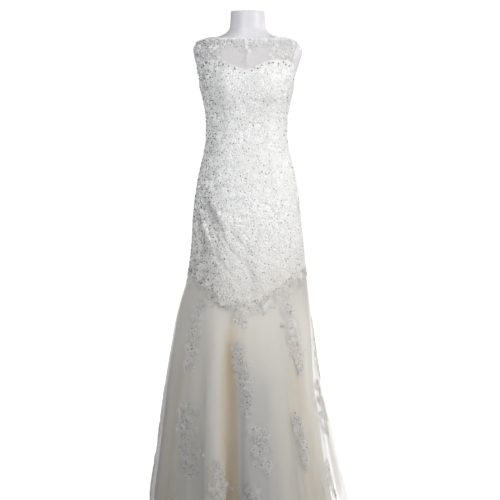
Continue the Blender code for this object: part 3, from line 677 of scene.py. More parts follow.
def steelMaterial():
    # brushed steel, rings round the stand's axis
    material, sheet, shader = newMaterial("brushedSteel")
    place = sheet.objectPlace()
    rings = sheet.add("ShaderNodeTexWave", wave_type="RINGS", rings_direction="Z", in_Vector=place, in_Scale=160.0,
                      in_Distortion=2.5, in_Detail=3.0)
    fleck = groupNode(sheet, threadFleck, Vector=place, Scale=60.0)
    base = sheet.mixColour(rings.outputs["Fac"], colour(0.62, 0.62, 0.64), colour(0.76, 0.76, 0.77))
    sheet.feed(shader.inputs["Base Color"], base)
    shader.inputs["Metallic"].default_value = 1.0
    sheet.feed(shader.inputs["Roughness"], sheet.spread(fleck.outputs["Cloud"], 0.3, 0.7, 0.24, 0.38))
    bumped(sheet, shader, rings.outputs["Fac"], 0.0001, 0.6)
    return material


def crystalMaterial():
    # smoky cut crystal, dark until a facet catches the light
    material, _, shader, _ = fleckedMaterial(
        "crystal", 300.0, colour(0.07, 0.07, 0.08), colour(0.26, 0.26, 0.29), (0.08, 0.2))
    shader.inputs["Metallic"].default_value = 0.4
    return material


def pearlMaterial():
    material, _, shader, _ = fleckedMaterial(
        "pearl", 250.0, colour(0.90, 0.89, 0.87), colour(0.80, 0.79, 0.82), (0.16, 0.3))
    shader.inputs["Coat Weight"].default_value = 0.5
    return material


laceGround = laceGroundMaterial()
laceCord = cordMaterial("laceCord", colour(0.98, 0.98, 0.98), colour(0.91, 0.91, 0.915), 0.5,
                        colour(0.87, 0.855, 0.825))
sprayCord = cordMaterial("sprayCord", colour(0.99, 0.99, 0.985), colour(0.92, 0.92, 0.92), 0.42)
lacePetal = cordMaterial("lacePetal", colour(0.95, 0.95, 0.95), colour(0.84, 0.84, 0.845), 0.62,
                         colour(0.74, 0.725, 0.69))
placketSatin = satinMaterial("placketSatin", colour(0.88, 0.875, 0.86))
yokeNet = netMaterial("yokeNet", colour(0.87, 0.84, 0.835), 620.0, 0.18)
sprayNet = netMaterial("sprayNet", colour(0.86, 0.85, 0.84), 700.0, 0.07)
openPetal = openPetalMaterial()
tulle, satin = tulleMaterial(), satinMaterial()
formShell, brushedSteel, buttonSatin = formMaterial(), steelMaterial(), buttonMaterial()
crystal, pearl = crystalMaterial(), pearlMaterial()
print("materials made")


# Lace body

bodyPanel = {"rows": 94, "columnArc": 5.0, "seamWidth": 4.0, "seamDip": 0.7}


def addBodyPanel(name, node, first, last, group):
    span = last - first
    columns = max(18, int(span * 3.5 / bodyPanel["columnArc"]))
    shares = np.linspace(0, 1, columns + 1)[None, :]
    upward = np.linspace(0, 1, bodyPanel["rows"])[:, None]
    heights = np.full((len(upward), columns + 1), 1200.0)
    for _ in range(3):
        turns = turnsBetween(first, last, shares, heights)
        wave = np.abs(np.sin((turns - first) / cloth["scallopTurn"] * math.pi / 2))
        scallops = cloth["scallopDepth"] * (0.5 - wave)
        low = edgeHeight(laceEdge, turns) + scallops
        heights = low * (1 - upward) + edgeHeight(topEdge, turns) * upward
    fromSeam = np.minimum(turns - first, last - turns) * 3.3       # mm, about 3.3 to a degree
    dip = bodyPanel["seamDip"] * np.exp(-(fromSeam / bodyPanel["seamWidth"]) ** 2)
    outer = below(turns, heights, dip)
    inner = below(turns, heights, np.full(turns.shape, cloth["wall"]))
    # how near the lower edge, where the ground thins out to the tulle's own look
    nearEdge = 1 - ramp(0, 150, heights - edgeHeight(laceEdge, turns))
    clothShell(name, outer, inner, [laceGround], nearEdge, group, node, crease=creaseDepth(turns, heights))


def addBody():
    front, side, back = cloth["frontSeam"], cloth["sideSeam"], cloth["backSeam"]
    for name, node, first, last, group in (
        ("bodyFront", "body_front", -front, front, "bodyFront"),
        ("bodySideFrontLeft", "body_side_front_left", front, side, "bodyFront"),
        ("bodySideFrontRight", "body_side_front_right", -side, -front, "bodyFront"),
        ("bodySideBackLeft", "body_side_back_left", side, back, "bodyBack"),
        ("bodySideBackRight", "body_side_back_right", -back, -side, "bodyBack"),
        ("bodyBackLeft", "body_back_left", back, 180, "bodyBack"),
        ("bodyBackRight", "body_back_right", -180, -back, "bodyBack"),
    ):
        addBodyPanel(name, node, first, last, group)


# Sheer yoke

yoke = {"rows": 30, "sideHeights": (1548, 1566, 1582, 1594, 1603, 1610, 1616, 1621, 1626, 1632, 1638)}


def addYoke(name, node, marks, behind):
    known = np.array(yoke["sideHeights"], float)
    sideHeights = np.interp(np.linspace(0, len(known) - 1, yoke["rows"]), np.arange(len(known)), known)
    upward = ((sideHeights - known[0]) / (known[-1] - known[0]))[:, None]
    shares = (np.array(marks) / cloth["armTurn"])[None, :]
    edgeTurn = along(armholeEdge, sideHeights)
    spread = np.minimum(edgeTurn, cloth["sideSeam"] - seamGap(cloth["sideSeam"], sideHeights))[:, None]
    turns, wide = spread * shares, cloth["sideSeam"] * np.abs(shares)
    lowTurn = cloth["armTurn"] * np.abs(shares)
    if behind:
        wide, lowTurn = 180 - wide, 180 - lowTurn
    heights = (edgeHeight(topEdge, lowTurn) + 2 * cloth["seam"]) * (1 - upward) + edgeHeight(neckEdge, wide) * upward
    if behind:
        side = np.sign(shares.sum())
        turns = np.where(shares == 0, side * seamGap(180, heights), turns)
        turns, heights = 180 - turns[:, ::-1], heights[:, ::-1]
    outer = below(turns, heights, 0.0)
    inner = below(turns, heights, cloth["wall"])
    clothShell(name, outer, inner, [yokeNet], None, "yokeBack" if behind else "yokeFront", node)


def addYokes():
    toArm = list(np.concatenate([np.linspace(0, 45, 25)[1:], np.linspace(45, cloth["armTurn"], 17)[1:]]))
    toOtherArm = [-turn for turn in reversed(toArm)]
    addYoke("yokeFront", "yoke_front", toOtherArm + [0] + toArm, False)
    addYoke("yokeBackLeft", "yoke_back_left", [0] + toArm, True)
    addYoke("yokeBackRight", "yoke_back_right", toOtherArm + [0], True)


# Skirt

skirt = {"tulleRows": 48, "tulleColumns": 250, "liningRows": 28, "liningColumns": 200}


def skirtGrid(first, last, columns, rows, lowerEnd, gap):
    shares = np.linspace(0, 1, columns)[None, :]
    upward = np.linspace(0, 1, rows)[:, None]
    heights = np.full((rows, columns), 400.0)
    for _ in range(3):
        turns = turnsBetween(first, last, shares, heights, gap)
        top = edgeHeight(laceEdge, turns) + cloth["skirtLap"]
        heights = lowerEnd + (top - lowerEnd) * upward
    return turns, heights, np.broadcast_to(upward, turns.shape)


def liningPoint(turn, height, upward, depth):
    point = below(turn, height, cloth["skirtDepth"] + cloth["tulleWall"])
    atHem = along(liningInset, turnApart(turn, 0))
    gap = cloth["liningSeam"] + (cloth["liningGap"] - cloth["liningSeam"]) * ramp(0, 0.1, 1 - upward)
    inset = gap + (atHem - cloth["liningGap"]) * (1 - ramp(cloth["hemHeight"], 780, height)) + depth
    reach = np.linalg.norm(point[..., :2], axis=-1, keepdims=True)
    return np.concatenate([point[..., :2] * (1 - inset[..., None] / reach), point[..., 2:]], axis=-1)


def addSkirt():
    side = cloth["sideSeam"]
    for end, first, last in (("Front", -side, side), ("Back", side, 360 - side)):
        turns, heights, _ = skirtGrid(first, last, skirt["tulleColumns"], skirt["tulleRows"],
                                      cloth["hemHeight"], 1)
        outer = below(turns, heights, cloth["skirtDepth"])
        inner = below(turns, heights, cloth["skirtDepth"] + cloth["tulleWall"])
        # how far the tulle stands off the satin, where it is single and sheer
        apart = ramp(9, 40, along(liningInset, turnApart(turns, 0))) * ramp(820, 620, heights)
        clothShell("skirtTulle" + end, outer, inner, [tulle], foldShadeShare(turns, heights), "tulle" + end,
                   "skirt_tulle_" + end.lower(), crease=apart)
        turns, heights, upward = skirtGrid(first, last, skirt["liningColumns"], skirt["liningRows"],
                                           cloth["hemHeight"] + 4, 1.35)
        clothShell("skirtLining" + end, liningPoint(turns, heights, upward, 0.0),
                   liningPoint(turns, heights, upward, cloth["wall"]), [satin], foldShadeShare(turns, heights), None,
                   "skirt_lining_" + end.lower())


# Lace motifs, drawn flat in mm: x across, y up, z away from the cloth

def emptyBatch():
    return {"points": [], "triangles": [], "looks": [], "count": 0}


def addToBatch(batch, points, triangles, looks):
    points, triangles = np.asarray(points, float), np.asarray(triangles, int)
    batch["points"].append(points)
    batch["triangles"].append(triangles + batch["count"])
    batch["looks"].append(np.broadcast_to(looks, len(triangles)))
    batch["count"] += len(points)


def asMotif(batch):
    return {key: np.concatenate(batch[key]) for key in ("points", "triangles", "looks")}


def batchObject(name, batch, looks, sharpAngle=None):
    joined = asMotif(batch)
    made = meshObject(name, joined["points"], joined["triangles"], looks, joined["looks"], sharpAngle)
    if "crease" in batch:
        markPoints(made, "crease", batch["crease"])
    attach(made, "root")
    print(f"  {name}: {len(joined['triangles'])} triangles")
    return made


def addCord(batch, path, width=1.7, rise=0.95, closed=False, taper=False):
    # a cord lying on the cloth: three sides, with a flat underside
    path = np.asarray(path, float)
    ahead = np.roll(path, -1, axis=0) - np.roll(path, 1, axis=0)
    if not closed:
        ahead[0], ahead[-1] = path[1] - path[0], path[-1] - path[-2]
    ahead = ahead / np.maximum(np.linalg.norm(ahead, axis=1, keepdims=True), 1e-6)
    side = np.stack([-ahead[:, 1], ahead[:, 0]], axis=1)
    count = len(path)
    thin = np.ones(count)
    if taper:
        thin = 0.45 + 0.55 * np.sin(np.linspace(0.12, 0.88, count) * math.pi)
    half = (width / 2 * thin)[:, None]
    left = np.column_stack([path + side * half, np.zeros(count)])
    right = np.column_stack([path - side * half, np.zeros(count)])
    top = np.column_stack([path, rise * thin])
    triangles = []
    for i in range(count if closed else count - 1):
        j = (i + 1) % count
        for a, b in ((0, 1), (1, 2), (2, 0)):
            a, b = a * count, b * count
            triangles += [(a + i, b + i, b + j), (a + i, b + j, a + j)]
    if not closed:
        end = count - 1
        triangles += [(0, 2 * count, count), (end, count + end, 2 * count + end)]
    addToBatch(batch, np.concatenate([left, top, right]), triangles, 0)


def loopPath(length, width, count, pinch=0.55):
    # a petal from its root at the origin up the y axis, counter-clockwise
    t = (np.arange(count) + 0.5) / count * 2 * math.pi
    up = (1 - np.cos(t)) / 2
    return np.column_stack([np.sin(t) * width / 2 * up ** pinch * 1.25, up * length])


def turned(path, degrees, shift=(0, 0)):
    angle = math.radians(degrees)
    spin = np.array([[math.cos(angle), math.sin(angle)], [-math.sin(angle), math.cos(angle)]])
    return np.asarray(path) @ spin + np.asarray(shift, float)


def curlPath(start, end, swing, count):
    t = np.linspace(0, 1, count)
    reach = start + (end - start) * t
    return np.column_stack([reach * np.cos(t * swing), reach * np.sin(t * swing)])


def onStem(share, sway, bend, length):
    # a place on a wavy stem, from its root at 0 to its tip at 1
    return sway * np.sin(share * bend), (share - 0.5) * length


def stemPath(count, sway, bend, length):
    return np.column_stack(onStem(np.linspace(0, 1, count), sway, bend, length))


def ringPath(radius, count, middle=(0, 0)):
    t = np.arange(count) / count * 2 * math.pi
    return np.column_stack([np.cos(t), np.sin(t)]) * radius + np.asarray(middle, float)


def addPetal(batch, length, width, degrees, shift=(0, 0), count=8, rise=1.0):
    # one petal: a corded rim round a dished middle, with a flat underside
    path = loopPath(length, width, count)
    middle = np.array([0, length * 0.52])
    rim = middle + (path - middle) * (1 - 2.1 / (length + width))
    points = np.concatenate([turned(path, degrees, shift), turned(rim, degrees, shift),
                             turned([middle, middle], degrees, shift)])
    heights = np.concatenate([np.zeros(count), np.full(count, rise), [rise * 0.3, -0.05]])
    triangles, looks = [], []
    for i in range(count):
        j = (i + 1) % count
        triangles += [(i, j, count + j), (i, count + j, count + i), (count + i, count + j, 2 * count),
                      (j, i, 2 * count + 1)]
        looks += [0, 0, 1, 1]
    addToBatch(batch, np.column_stack([points, heights]), triangles, looks)


def blossom(petals=5, size=18, core=3.0):
    batch = emptyBatch()
    for k in range(petals):
        addPetal(batch, size * (1 if k % 2 else 0.9), size * 0.72, k * 360 / petals + 9)
    addPetal(batch, 2 * core, 2 * core, 0, (0, -core), 6, 1.7)
    return batch


def leafSprig(leaves=6, length=44):
    batch = emptyBatch()
    stem = stemPath(9, 6, 4.4, length)
    addCord(batch, stem, taper=True)
    for k in range(leaves):
        share = (k + 0.7) / (leaves + 0.4)
        root = onStem(share, 6, 4.4, length)
        lean = 52 if k % 2 else -48
        addPetal(batch, 13.5 - 4 * share, 7, -lean, root, 7)
    addPetal(batch, 10, 6.5, 12, stem[-1], 7)
    return batch


def scrollEnd():
    batch = emptyBatch()
    addCord(batch, curlPath(15, 4.5, 8.4, 13), 2.0, 1.0)
    for k in range(7):
        angle = k * 38 - 30
        root = (15.5 * math.cos(math.radians(angle)), 15.5 * math.sin(math.radians(angle)))
        addPetal(batch, 7.5, 6, angle - 90, root, 6)
    addPetal(batch, 6, 6, 0, (0, -3), 6, 1.4)
    return batch


def roundel():
    batch = emptyBatch()
    addCord(batch, ringPath(9.5, 12), 2.2, 1.1, closed=True)
    addPetal(batch, 9, 9, 0, (0, -4.5), 7, 1.5)
    for k in range(8):
        angle = math.radians(k * 45)
        addPetal(batch, 6.5, 6, k * 45, (-10.3 * math.sin(angle), 10.3 * math.cos(angle)), 6)
    return batch


def budVine():
    batch = emptyBatch()
    addCord(batch, stemPath(10, 8, 6.0, 46), taper=True)
    for share, lean in ((0.12, 60), (0.45, -65), (0.72, 55), (1.0, 0)):
        root = onStem(share, 8, 6.0, 46)
        for spread in (-34, 0, 34):
            addPetal(batch, 9, 5.5, -lean + spread, root, 6)
    return batch


def lightBlossom(petals=5, size=9.5):
    batch = emptyBatch()
    for k in range(petals):
        addPetal(batch, size * (1 if k % 2 else 0.88), size * 0.74, k * 360 / petals + 9, (0, 0), 6, 1.2)
    addPetal(batch, 4, 4, 0, (0, -2), 5, 1.8)
    return batch


def lightSprig(leaves=5, length=24):
    batch = emptyBatch()
    addCord(batch, stemPath(6, 3, 4.4, length), 1.8, 1.1, taper=True)
    for k in range(leaves):
        share = (k + 0.8) / (leaves + 0.4)
        root = onStem(share, 3, 4.4, length)
        addPetal(batch, 8.5 - 2 * share, 4.6, -50 if k % 2 else 52, root, 6, 1.1)
    return batch


def lightScroll():
    batch = emptyBatch()
    addCord(batch, curlPath(8.5, 3, 7.6, 10), 1.9, 1.2)
    for k in range(4):
        angle = k * 52 - 20
        root = (9 * math.cos(math.radians(angle)), 9 * math.sin(math.radians(angle)))
        addPetal(batch, 5.2, 4.6, angle - 90, root, 5, 1.1)
    return batch


def openBlossom(petals=5, size=8.5):
    # petals as open loops of cord
    batch = emptyBatch()
    for k in range(petals):
        addCord(batch, turned(loopPath(size, size * 0.85, 6), k * 360 / petals + 9), 1.9, 1.5, closed=True)
    addPetal(batch, 3.4, 3.4, 0, (0, -1.7), 5, 1.9)
    return batch


def openRing(radius=5.4):
    batch = emptyBatch()
    addCord(batch, ringPath(radius, 9), 2.2, 1.6, closed=True)
    addPetal(batch, 3.6, 3.6, 0, (0, -1.8), 5, 1.9)
    return batch


def openCurl():
    batch = emptyBatch()
    addCord(batch, curlPath(8.5, 2.5, 7.2, 10), 2.1, 1.5)
    addPetal(batch, 6.5, 4.2, -80, (8.5, 0), 6, 1.4)
    return batch


def openSprig(leaves=4, length=26):
    batch = emptyBatch()
    addCord(batch, stemPath(7, 4, 4.4, length), 2.0, 1.4, taper=True)
    for k in range(leaves):
        share = (k + 0.8) / (leaves + 0.4)
        root = onStem(share, 4, 4.4, length)
        leaf = turned(loopPath(8.5 - 2 * share, 4.8, 6), -50 if k % 2 else 52, root)
        addCord(batch, leaf, 1.6, 1.3, closed=True)
    return batch


motifs = {made.__name__: asMotif(made()) for made in (
    openBlossom, openRing, openCurl, openSprig, blossom, leafSprig, scrollEnd, roundel, budVine,
    lightBlossom, lightSprig, lightScroll,
)}
motifs["smallBlossom"] = asMotif(blossom(6, 12.5, 2.4))

# how long the outline is from the centre front to each turn, row by row
arcTurns, arcHeights = np.arange(-220, 220.1, 0.5), np.arange(0, 1732, 12.0)


def arcLengths():
    rows = outline(arcTurns[None, :], arcHeights[:, None])
    steps = np.linalg.norm(np.diff(rows[..., :2], axis=1), axis=-1)
    lengths = np.concatenate([np.zeros((len(rows), 1)), np.cumsum(steps, axis=1)], axis=1)
    return lengths - lengths[:, len(arcTurns) // 2][:, None]


arcs = arcLengths()


def turnsAtArc(startTurn, shifts, heights):
    # the turns that lie a distance across the cloth from a start turn, at each height
    level = np.clip(heights / 12.0, 0, len(arcHeights) - 1.001)
    lower = level.astype(int)
    found = np.zeros((2, len(heights)))
    for row in np.unique(np.concatenate([lower, lower + 1])):
        start = np.interp(startTurn, arcTurns, arcs[row])
        for k in (0, 1):
            here = lower + k == row
            found[k, here] = np.interp(start + shifts[here], arcs[row], arcTurns)
    return found[0] * (1 - level + lower) + found[1] * (level - lower)


def pinMotif(batch, motif, turn, height, degrees=0.0, scale=1.0, lift=0.1, mirrored=False):
    # notes where each point of a motif goes; settleMotifs then lays them all on the cloth at once
    angle = math.radians(degrees)
    x, y, z = (motif["points"] * [(-scale if mirrored else scale), scale, 1.0]).T
    across = x * math.cos(angle) - y * math.sin(angle)
    heights = height + x * math.sin(angle) + y * math.cos(angle)
    turns = turnsAtArc(turn, across, heights)
    triangles = motif["triangles"][:, ::-1] if mirrored else motif["triangles"]
    addToBatch(batch, np.column_stack([turns, heights, z + lift]), triangles, motif["looks"])


def clothDepth(turn, height):
    # the lace lies at the outline; past its lower edge the tulle lies a little deeper
    return cloth["skirtDepth"] * ramp(-2, 14, edgeHeight(laceEdge, turn) - height)


def settleMotifs(batch):
    turns, heights, rise = np.concatenate(batch["points"]).T
    batch["points"] = [below(turns, heights, clothDepth(turns, heights) - rise)]
    batch["crease"] = creaseDepth(turns, heights)
    return batch


def layMotif(batch, motif, tree, seat, away, up, degrees=0.0, scale=1.0, lift=0.0, mirrored=False):
    # for the shoulders: each point is carried to the cloth behind it, along the direction away from the seat
    away = Vector(away).normalized()
    right = Vector(up).cross(away).normalized()
    upright = away.cross(right)
    angle = math.radians(degrees)
    across = right * math.cos(angle) + upright * math.sin(angle)
    upward = upright * math.cos(angle) - right * math.sin(angle)
    origin = Vector(seat) + away * 30
    laid = []
    for x, y, z in motif["points"] * [(-scale if mirrored else scale), scale, 1.0]:
        place, normal, _, _ = tree.ray_cast(origin + across * x + upward * y, -away, 90)
        if place is None:
            return False
        if normal.dot(away) < 0:
            normal = -normal
        laid.append(place + normal * (z + lift))
    triangles = motif["triangles"][:, ::-1] if mirrored else motif["triangles"]
    addToBatch(batch, np.array(laid), triangles, motif["looks"])
    return True


def fitMotif(batch, motif, tree, seat, away, up, degrees, scale, lift, mirrored=False):
    for smaller in (1.0, 0.8, 0.62, 0.48):
        if layMotif(batch, motif, tree, seat, away, up, degrees, scale * smaller, lift, mirrored):
            return True
    return False


def scatter(groups, spacing, seed, keep=None, tries=9):
    # seats over the outer faces, none closer together than the spacing
    draw = np.random.default_rng(seed)
    chosen = []
    cells = {}
    for group in groups:
        for outer in hosts[group]:
            p, q, r = outer[:-1, :-1], outer[:-1, 1:], outer[1:, :-1]
            normals = np.cross(q - p, r - p)
            areas = np.linalg.norm(normals, axis=-1).ravel()
            total = int(areas.sum() / spacing ** 2 * tries)
            picks = draw.choice(len(areas), size=total, p=areas / areas.sum())
            shares = draw.random((total, 2))
            rows, columns = np.unravel_index(picks, normals.shape[:2])
            ups = (r - p)[rows, columns]
            points = p[rows, columns] + (q - p)[rows, columns] * shares[:, :1] + ups * shares[:, 1:]
            for point, normal, up in zip(points, normals[rows, columns], ups):
                if keep and not keep(point):
                    continue
                cell = tuple((point // spacing).astype(int))
                near = (
                    other for dx in (-1, 0, 1) for dy in (-1, 0, 1) for dz in (-1, 0, 1)
                    for other in cells.get((cell[0] + dx, cell[1] + dy, cell[2] + dz), ())
                )
                if any(((point - other) ** 2).sum() < spacing ** 2 for other in near):
                    continue
                cells.setdefault(cell, []).append(point)
                chosen.append((point, normal / np.linalg.norm(normal), up / np.linalg.norm(up)))
    return chosen


allOver = {"spacing": 24.0, "scale": 0.8, "lift": 0.05,
           "kinds": ("blossom", "leafSprig", "scrollEnd", "budVine", "blossom", "leafSprig", "smallBlossom",
                     "roundel")}


def laceSeats(first, last, step, draw, low=0, high=0, loose=0.24):
    # turns and heights in uneven rows, between the lace's lower edge and the bodice's top
    seats = []
    row = 0
    height = 740.0
    while height < 1560:
        halfStep = step / 2 if row % 2 else 0
        reach = np.interp([first, last], arcTurns, arcs[int(height / 12)])
        across = reach[0] + halfStep + draw.uniform(0, step * 0.5)
        while across < reach[1]:
            turn = float(np.interp(across, arcs[int(height / 12)], arcTurns))
            place = height + draw.uniform(-loose, loose) * step
            if edgeHeight(laceEdge, turn) + low < place < edgeHeight(topEdge, turn) - high:
                seats.append((turn, place))
            across += step * draw.uniform(1 - loose * 0.9, 1 + loose * 0.9)
        height += step * 0.86
        row += 1
    return seats


def addAllOverLace():
    for name, first, last, seed in (("laceWorkFront", -90, 90, 5), ("laceWorkBack", 90, 183, 8),
                                    ("laceWorkBackRight", -183, -90, 9)):
        draw = random.Random(seed)
        batch = emptyBatch()
        for turn, height in laceSeats(first, last, allOver["spacing"], draw, 14, 15):
            if abs(abs(turn) - 180) < 6:
                continue
            pinMotif(batch, motifs[draw.choice(allOver["kinds"])], turn, height, draw.uniform(-180, 180),
                     allOver["scale"] * draw.uniform(0.85, 1.15), allOver["lift"], draw.random() < 0.5)
        batchObject(name, settleMotifs(batch), [laceCord, lacePetal])


# The lace's scalloped lower edge: motifs that hang over the tulle

edgeRow = {"step": 25.0, "scale": 0.85, "trailing": 0.6,
           "kinds": ("leafSprig", "blossom", "scrollEnd", "budVine", "blossom", "roundel")}
# turn, height, kind, degrees, scale: the drops at the front, and like ones at the back
edgeDrops = [
    (-49, 836, "blossom", 10, 0.8), (-52, 814, "roundel", 0, 0.6), (-34, 826, "scrollEnd", 160, 0.9),
    (-24, 786, "budVine", 200, 0.95), (-21, 766, "roundel", 0, 0.6), (-13, 764, "blossom", 30, 0.8),
    (-3, 742, "leafSprig", 185, 1.0), (2, 722, "budVine", 170, 1.0), (-1, 704, "openSprig", 200, 1.2),
    (-7, 703, "openRing", 0, 1.5), (-6, 726, "openBlossom", 0, 1.2), (2, 692, "openBlossom", 0, 1.1),
    (-9, 716, "openCurl", 60, 1.0), (3.5, 706, "openRing", 0, 0.9), (-26, 770, "openRing", 0, 1.1),
    (-32, 784, "openCurl", 20, 1.2), (-52, 838, "openRing", 0, 1.2), (-50, 826, "openSprig", 190, 1.0),
    (12, 742, "openCurl", 150, 1.2), (20, 736, "openRing", 0, 1.2), (33, 770, "openCurl", 200, 1.4),
    (37, 750, "openCurl", 20, 1.4), (48, 788, "openSprig", 160, 1.2),
    (9, 752, "scrollEnd", 200, 0.9), (19, 752, "leafSprig", 160, 1.0), (24, 768, "blossom", 0, 0.75),
    (30, 792, "budVine", 165, 0.9), (39, 780, "scrollEnd", 200, 0.85), (43, 800, "blossom", 15, 0.75),
    (54, 818, "leafSprig", 170, 0.85), (66, 814, "scrollEnd", 190, 0.8), (-66, 812, "leafSprig", 195, 0.85),
    (-80, 816, "blossom", 0, 0.75), (82, 816, "budVine", 180, 0.85), (178, 722, "leafSprig", 180, 1.0),
    (182, 706, "budVine", 190, 0.95), (172, 728, "roundel", 0, 0.75), (188, 728, "smallBlossom", 0, 0.9),
    (160, 752, "scrollEnd", 170, 0.9), (200, 752, "leafSprig", 190, 0.9), (140, 780, "budVine", 170, 0.9),
    (220, 780, "scrollEnd", 190, 0.9), (118, 806, "leafSprig", 170, 0.85), (242, 806, "blossom", 10, 0.8),
]


def addEdgeWork():
    draw = random.Random(12)
    batch, drops = emptyBatch(), emptyBatch()
    turn = -180.0
    number = 0
    while turn < 180:
        height = float(edgeHeight(laceEdge, turn))
        degree = float(degreeLength(turn, height))
        kind = edgeRow["kinds"][number % len(edgeRow["kinds"])]
        pinMotif(batch, motifs[kind], turn, height + draw.uniform(-5, 6), 180 + draw.uniform(-40, 40),
                 edgeRow["scale"] * draw.uniform(0.85, 1.1), 0.15, draw.random() < 0.5)
        for drop in (9, 22):
            if draw.random() < edgeRow["trailing"]:
                kind = draw.choice(("openRing", "openCurl", "openSprig", "lightBlossom"))
                pinMotif(drops, motifs[kind], turn + draw.uniform(-2, 2), height - drop + draw.uniform(-4, 4),
                         draw.uniform(-180, 180), draw.uniform(0.7, 1.0), 0.2)
        turn += edgeRow["step"] / degree * draw.uniform(0.85, 1.15)
        number += 1
    for turn, height, kind, degrees, scale in edgeDrops:
        pinMotif(drops if kind.startswith("open") else batch, motifs[kind], turn, height, degrees, scale, 0.2)
    batchObject("laceEdgeWork", settleMotifs(batch), [laceCord, lacePetal])
    batchObject("laceDrops", settleMotifs(drops), [sprayCord, lacePetal])


# Lace on the sheer yoke: over the shoulders, along the neckline, and a drop at the centre front

yokeWork = {"spacing": 11.0, "scale": 0.85, "sheerHalf": 78, "borderDrop": 19, "dropHalf": 41, "dropLow": 1580}
# the drop at the centre front: turn, height, kind, scale
yokeDrop = [
    (-1, 1604, "openBlossom", 1.1), (-8, 1612, "openRing", 1.0), (7, 1613, "openRing", 1.0),
    (3, 1592, "lightBlossom", 0.8), (-5, 1590, "openCurl", 0.7), (12, 1617, "openCurl", 0.8),
    (-14, 1618, "openCurl", 0.8), (0, 1621, "openBlossom", 1.0),
]


def onYokeLace(point):
    x, _, z = point
    front = point[1] < 0
    edge = 1631.5 if front else along({0: 1602, 60: 1612, 120: 1626, 190: 1638}, abs(x))
    if z > edge - (yokeWork["borderDrop"] if front else 22):
        return True
    if front and abs(x - 2) < yokeWork["dropHalf"] and z > yokeWork["dropLow"] + abs(x - 2) * 0.6:
        return True
    return abs(x + 4) > yokeWork["sheerHalf"] + (1610 - z) * 0.12


def addYokeWork():
    tree = groupTree("yokeFront", "yokeBack", "bodyFront", "bodyBack")
    draw = random.Random(31)
    batch, stones, pearls = emptyBatch(), emptyBatch(), emptyBatch()
    kinds = ("lightBlossom", "lightSprig", "lightScroll", "lightBlossom")
    for point, away, up in scatter(["yokeFront", "yokeBack"], yokeWork["spacing"], 33, onYokeLace):
        fitMotif(batch, motifs[draw.choice(kinds)], tree, point, away, up, draw.uniform(-180, 180),
                 yokeWork["scale"] * draw.uniform(0.85, 1.1), 0.05, draw.random() < 0.5)
    # the thin vine that runs down from the drop to the dip of the neckline
    pinned = emptyBatch()
    for height in range(1545, 1582, 9):
        pinMotif(pinned, motifs["lightSprig"], 0.5 * math.sin(height * 0.35), height, 0, 0.5, 0.1)
    # small blossoms make the neckline's edge uneven
    for number, turn in enumerate(np.arange(-66, 67, 4.6)):
        height = float(edgeHeight(neckEdge, turn)) - 2.5 + draw.uniform(-1.5, 1.5)
        pinMotif(pinned, motifs["lightBlossom" if number % 3 else "lightScroll"], turn, height,
                 draw.uniform(-180, 180), 0.62 * draw.uniform(0.85, 1.2), 0.3)
    for turn, height, kind, scale in yokeDrop:
        pinMotif(pinned, motifs[kind], turn, height, draw.uniform(-180, 180), scale, 0.4)
    # at the wearer's right, more of them lap over the armhole's edge
    for height in np.arange(1520, 1606, 8.5):
        edge = -float(along(armholeEdge, height)) if height > 1548 else -62 - (1548 - height) * 0.28
        for column in range(3):
            turn = edge - 1.0 - 3.4 * column + draw.uniform(-0.8, 0.8)
            pinMotif(pinned, motifs[draw.choice(kinds)], turn, height + draw.uniform(-2.5, 2.5),
                     draw.uniform(-180, 180), 0.75 * draw.uniform(0.85, 1.15), 0.3)
            seat, away = below(np.array(turn), np.array(height), -0.9), outward(np.array(turn), np.array(height))
            if draw.random() < 0.8:
                sewBead(stones, stone, seat, away, draw.uniform(0.6, 1.0))
    hung = asMotif(settleMotifs(pinned))
    addToBatch(batch, hung["points"], hung["triangles"], hung["looks"])
    for point, away, _ in scatter(["yokeFront", "yokeBack"], 11.0, 35, onYokeLace, 3):
        # more stones on the wearer's right strap: real stones, set thicker there so their dark specks also stand in
        # for the shade on that side
        if draw.random() < (0.95 if point[0] < -60 else 0.6):
            sewBead(stones, stone, point, away, draw.uniform(0.55, 1.05), 0.5)
    for point, away, _ in scatter(["yokeFront", "yokeBack"], 8.5, 36, onYokeLace, 3):
        sewBead(pearls, smallPearl, point, away, draw.uniform(0.8, 1.15), 0.5)
    batchObject("yokeWork", batch, [laceCord, lacePetal])
    batchObject("yokeStones", stones, [crystal], 20)
    batchObject("yokePearls", pearls, [pearl])


# Beads

def beadShape(segments, radius, topRadius, height):
    # a flat-backed cut stone: a cone with its point cut off
    clearSelection()
    bpy.ops.mesh.primitive_cone_add(vertices=segments, radius1=radius, radius2=topRadius, depth=height,
                                    location=(0, 0, height / 2))
    return takeMesh()


def pearlShape(radius):
    clearSelection()
    bpy.ops.mesh.primitive_ico_sphere_add(subdivisions=1, radius=radius, location=(0, 0, radius * 0.75))
    return takeMesh()


def takeMesh():
    # reads the active mesh as arrays and clears it away
    bpy.ops.object.transform_apply(location=True, rotation=True, scale=True)
    made = bpy.context.object
    points = np.array([v.co for v in made.data.vertices])
    made.data.calc_loop_triangles()
    triangles = np.array([t.vertices for t in made.data.loop_triangles])
    bpy.data.objects.remove(made)
    return {"points": points, "triangles": triangles}


def sewBead(batch, shape, seat, away, scale=1.0, lift=0.0, look=0):
    away = np.asarray(away) / np.linalg.norm(away)
    side = np.cross(away, [0.3, 0.2, 1.0])
    side = side / np.linalg.norm(side)
    other = np.cross(away, side)
    p = shape["points"] * scale
    placed = np.asarray(seat) + p[:, :1] * side + p[:, 1:2] * other + (p[:, 2:] + lift) * away
    addToBatch(batch, placed, shape["triangles"], look)


stone, smallPearl = beadShape(6, 2.0, 1.15, 1.3), pearlShape(1.0)

beads = {"stoneSpacing": 16.5, "pearlSpacing": 12.5, "lift": 0.7,
         "stoneChance": {-90: 0.95, -50: 0.9, -22: 0.62, 0: 0.46, 40: 0.36, 90: 0.4, 180: 0.55}}


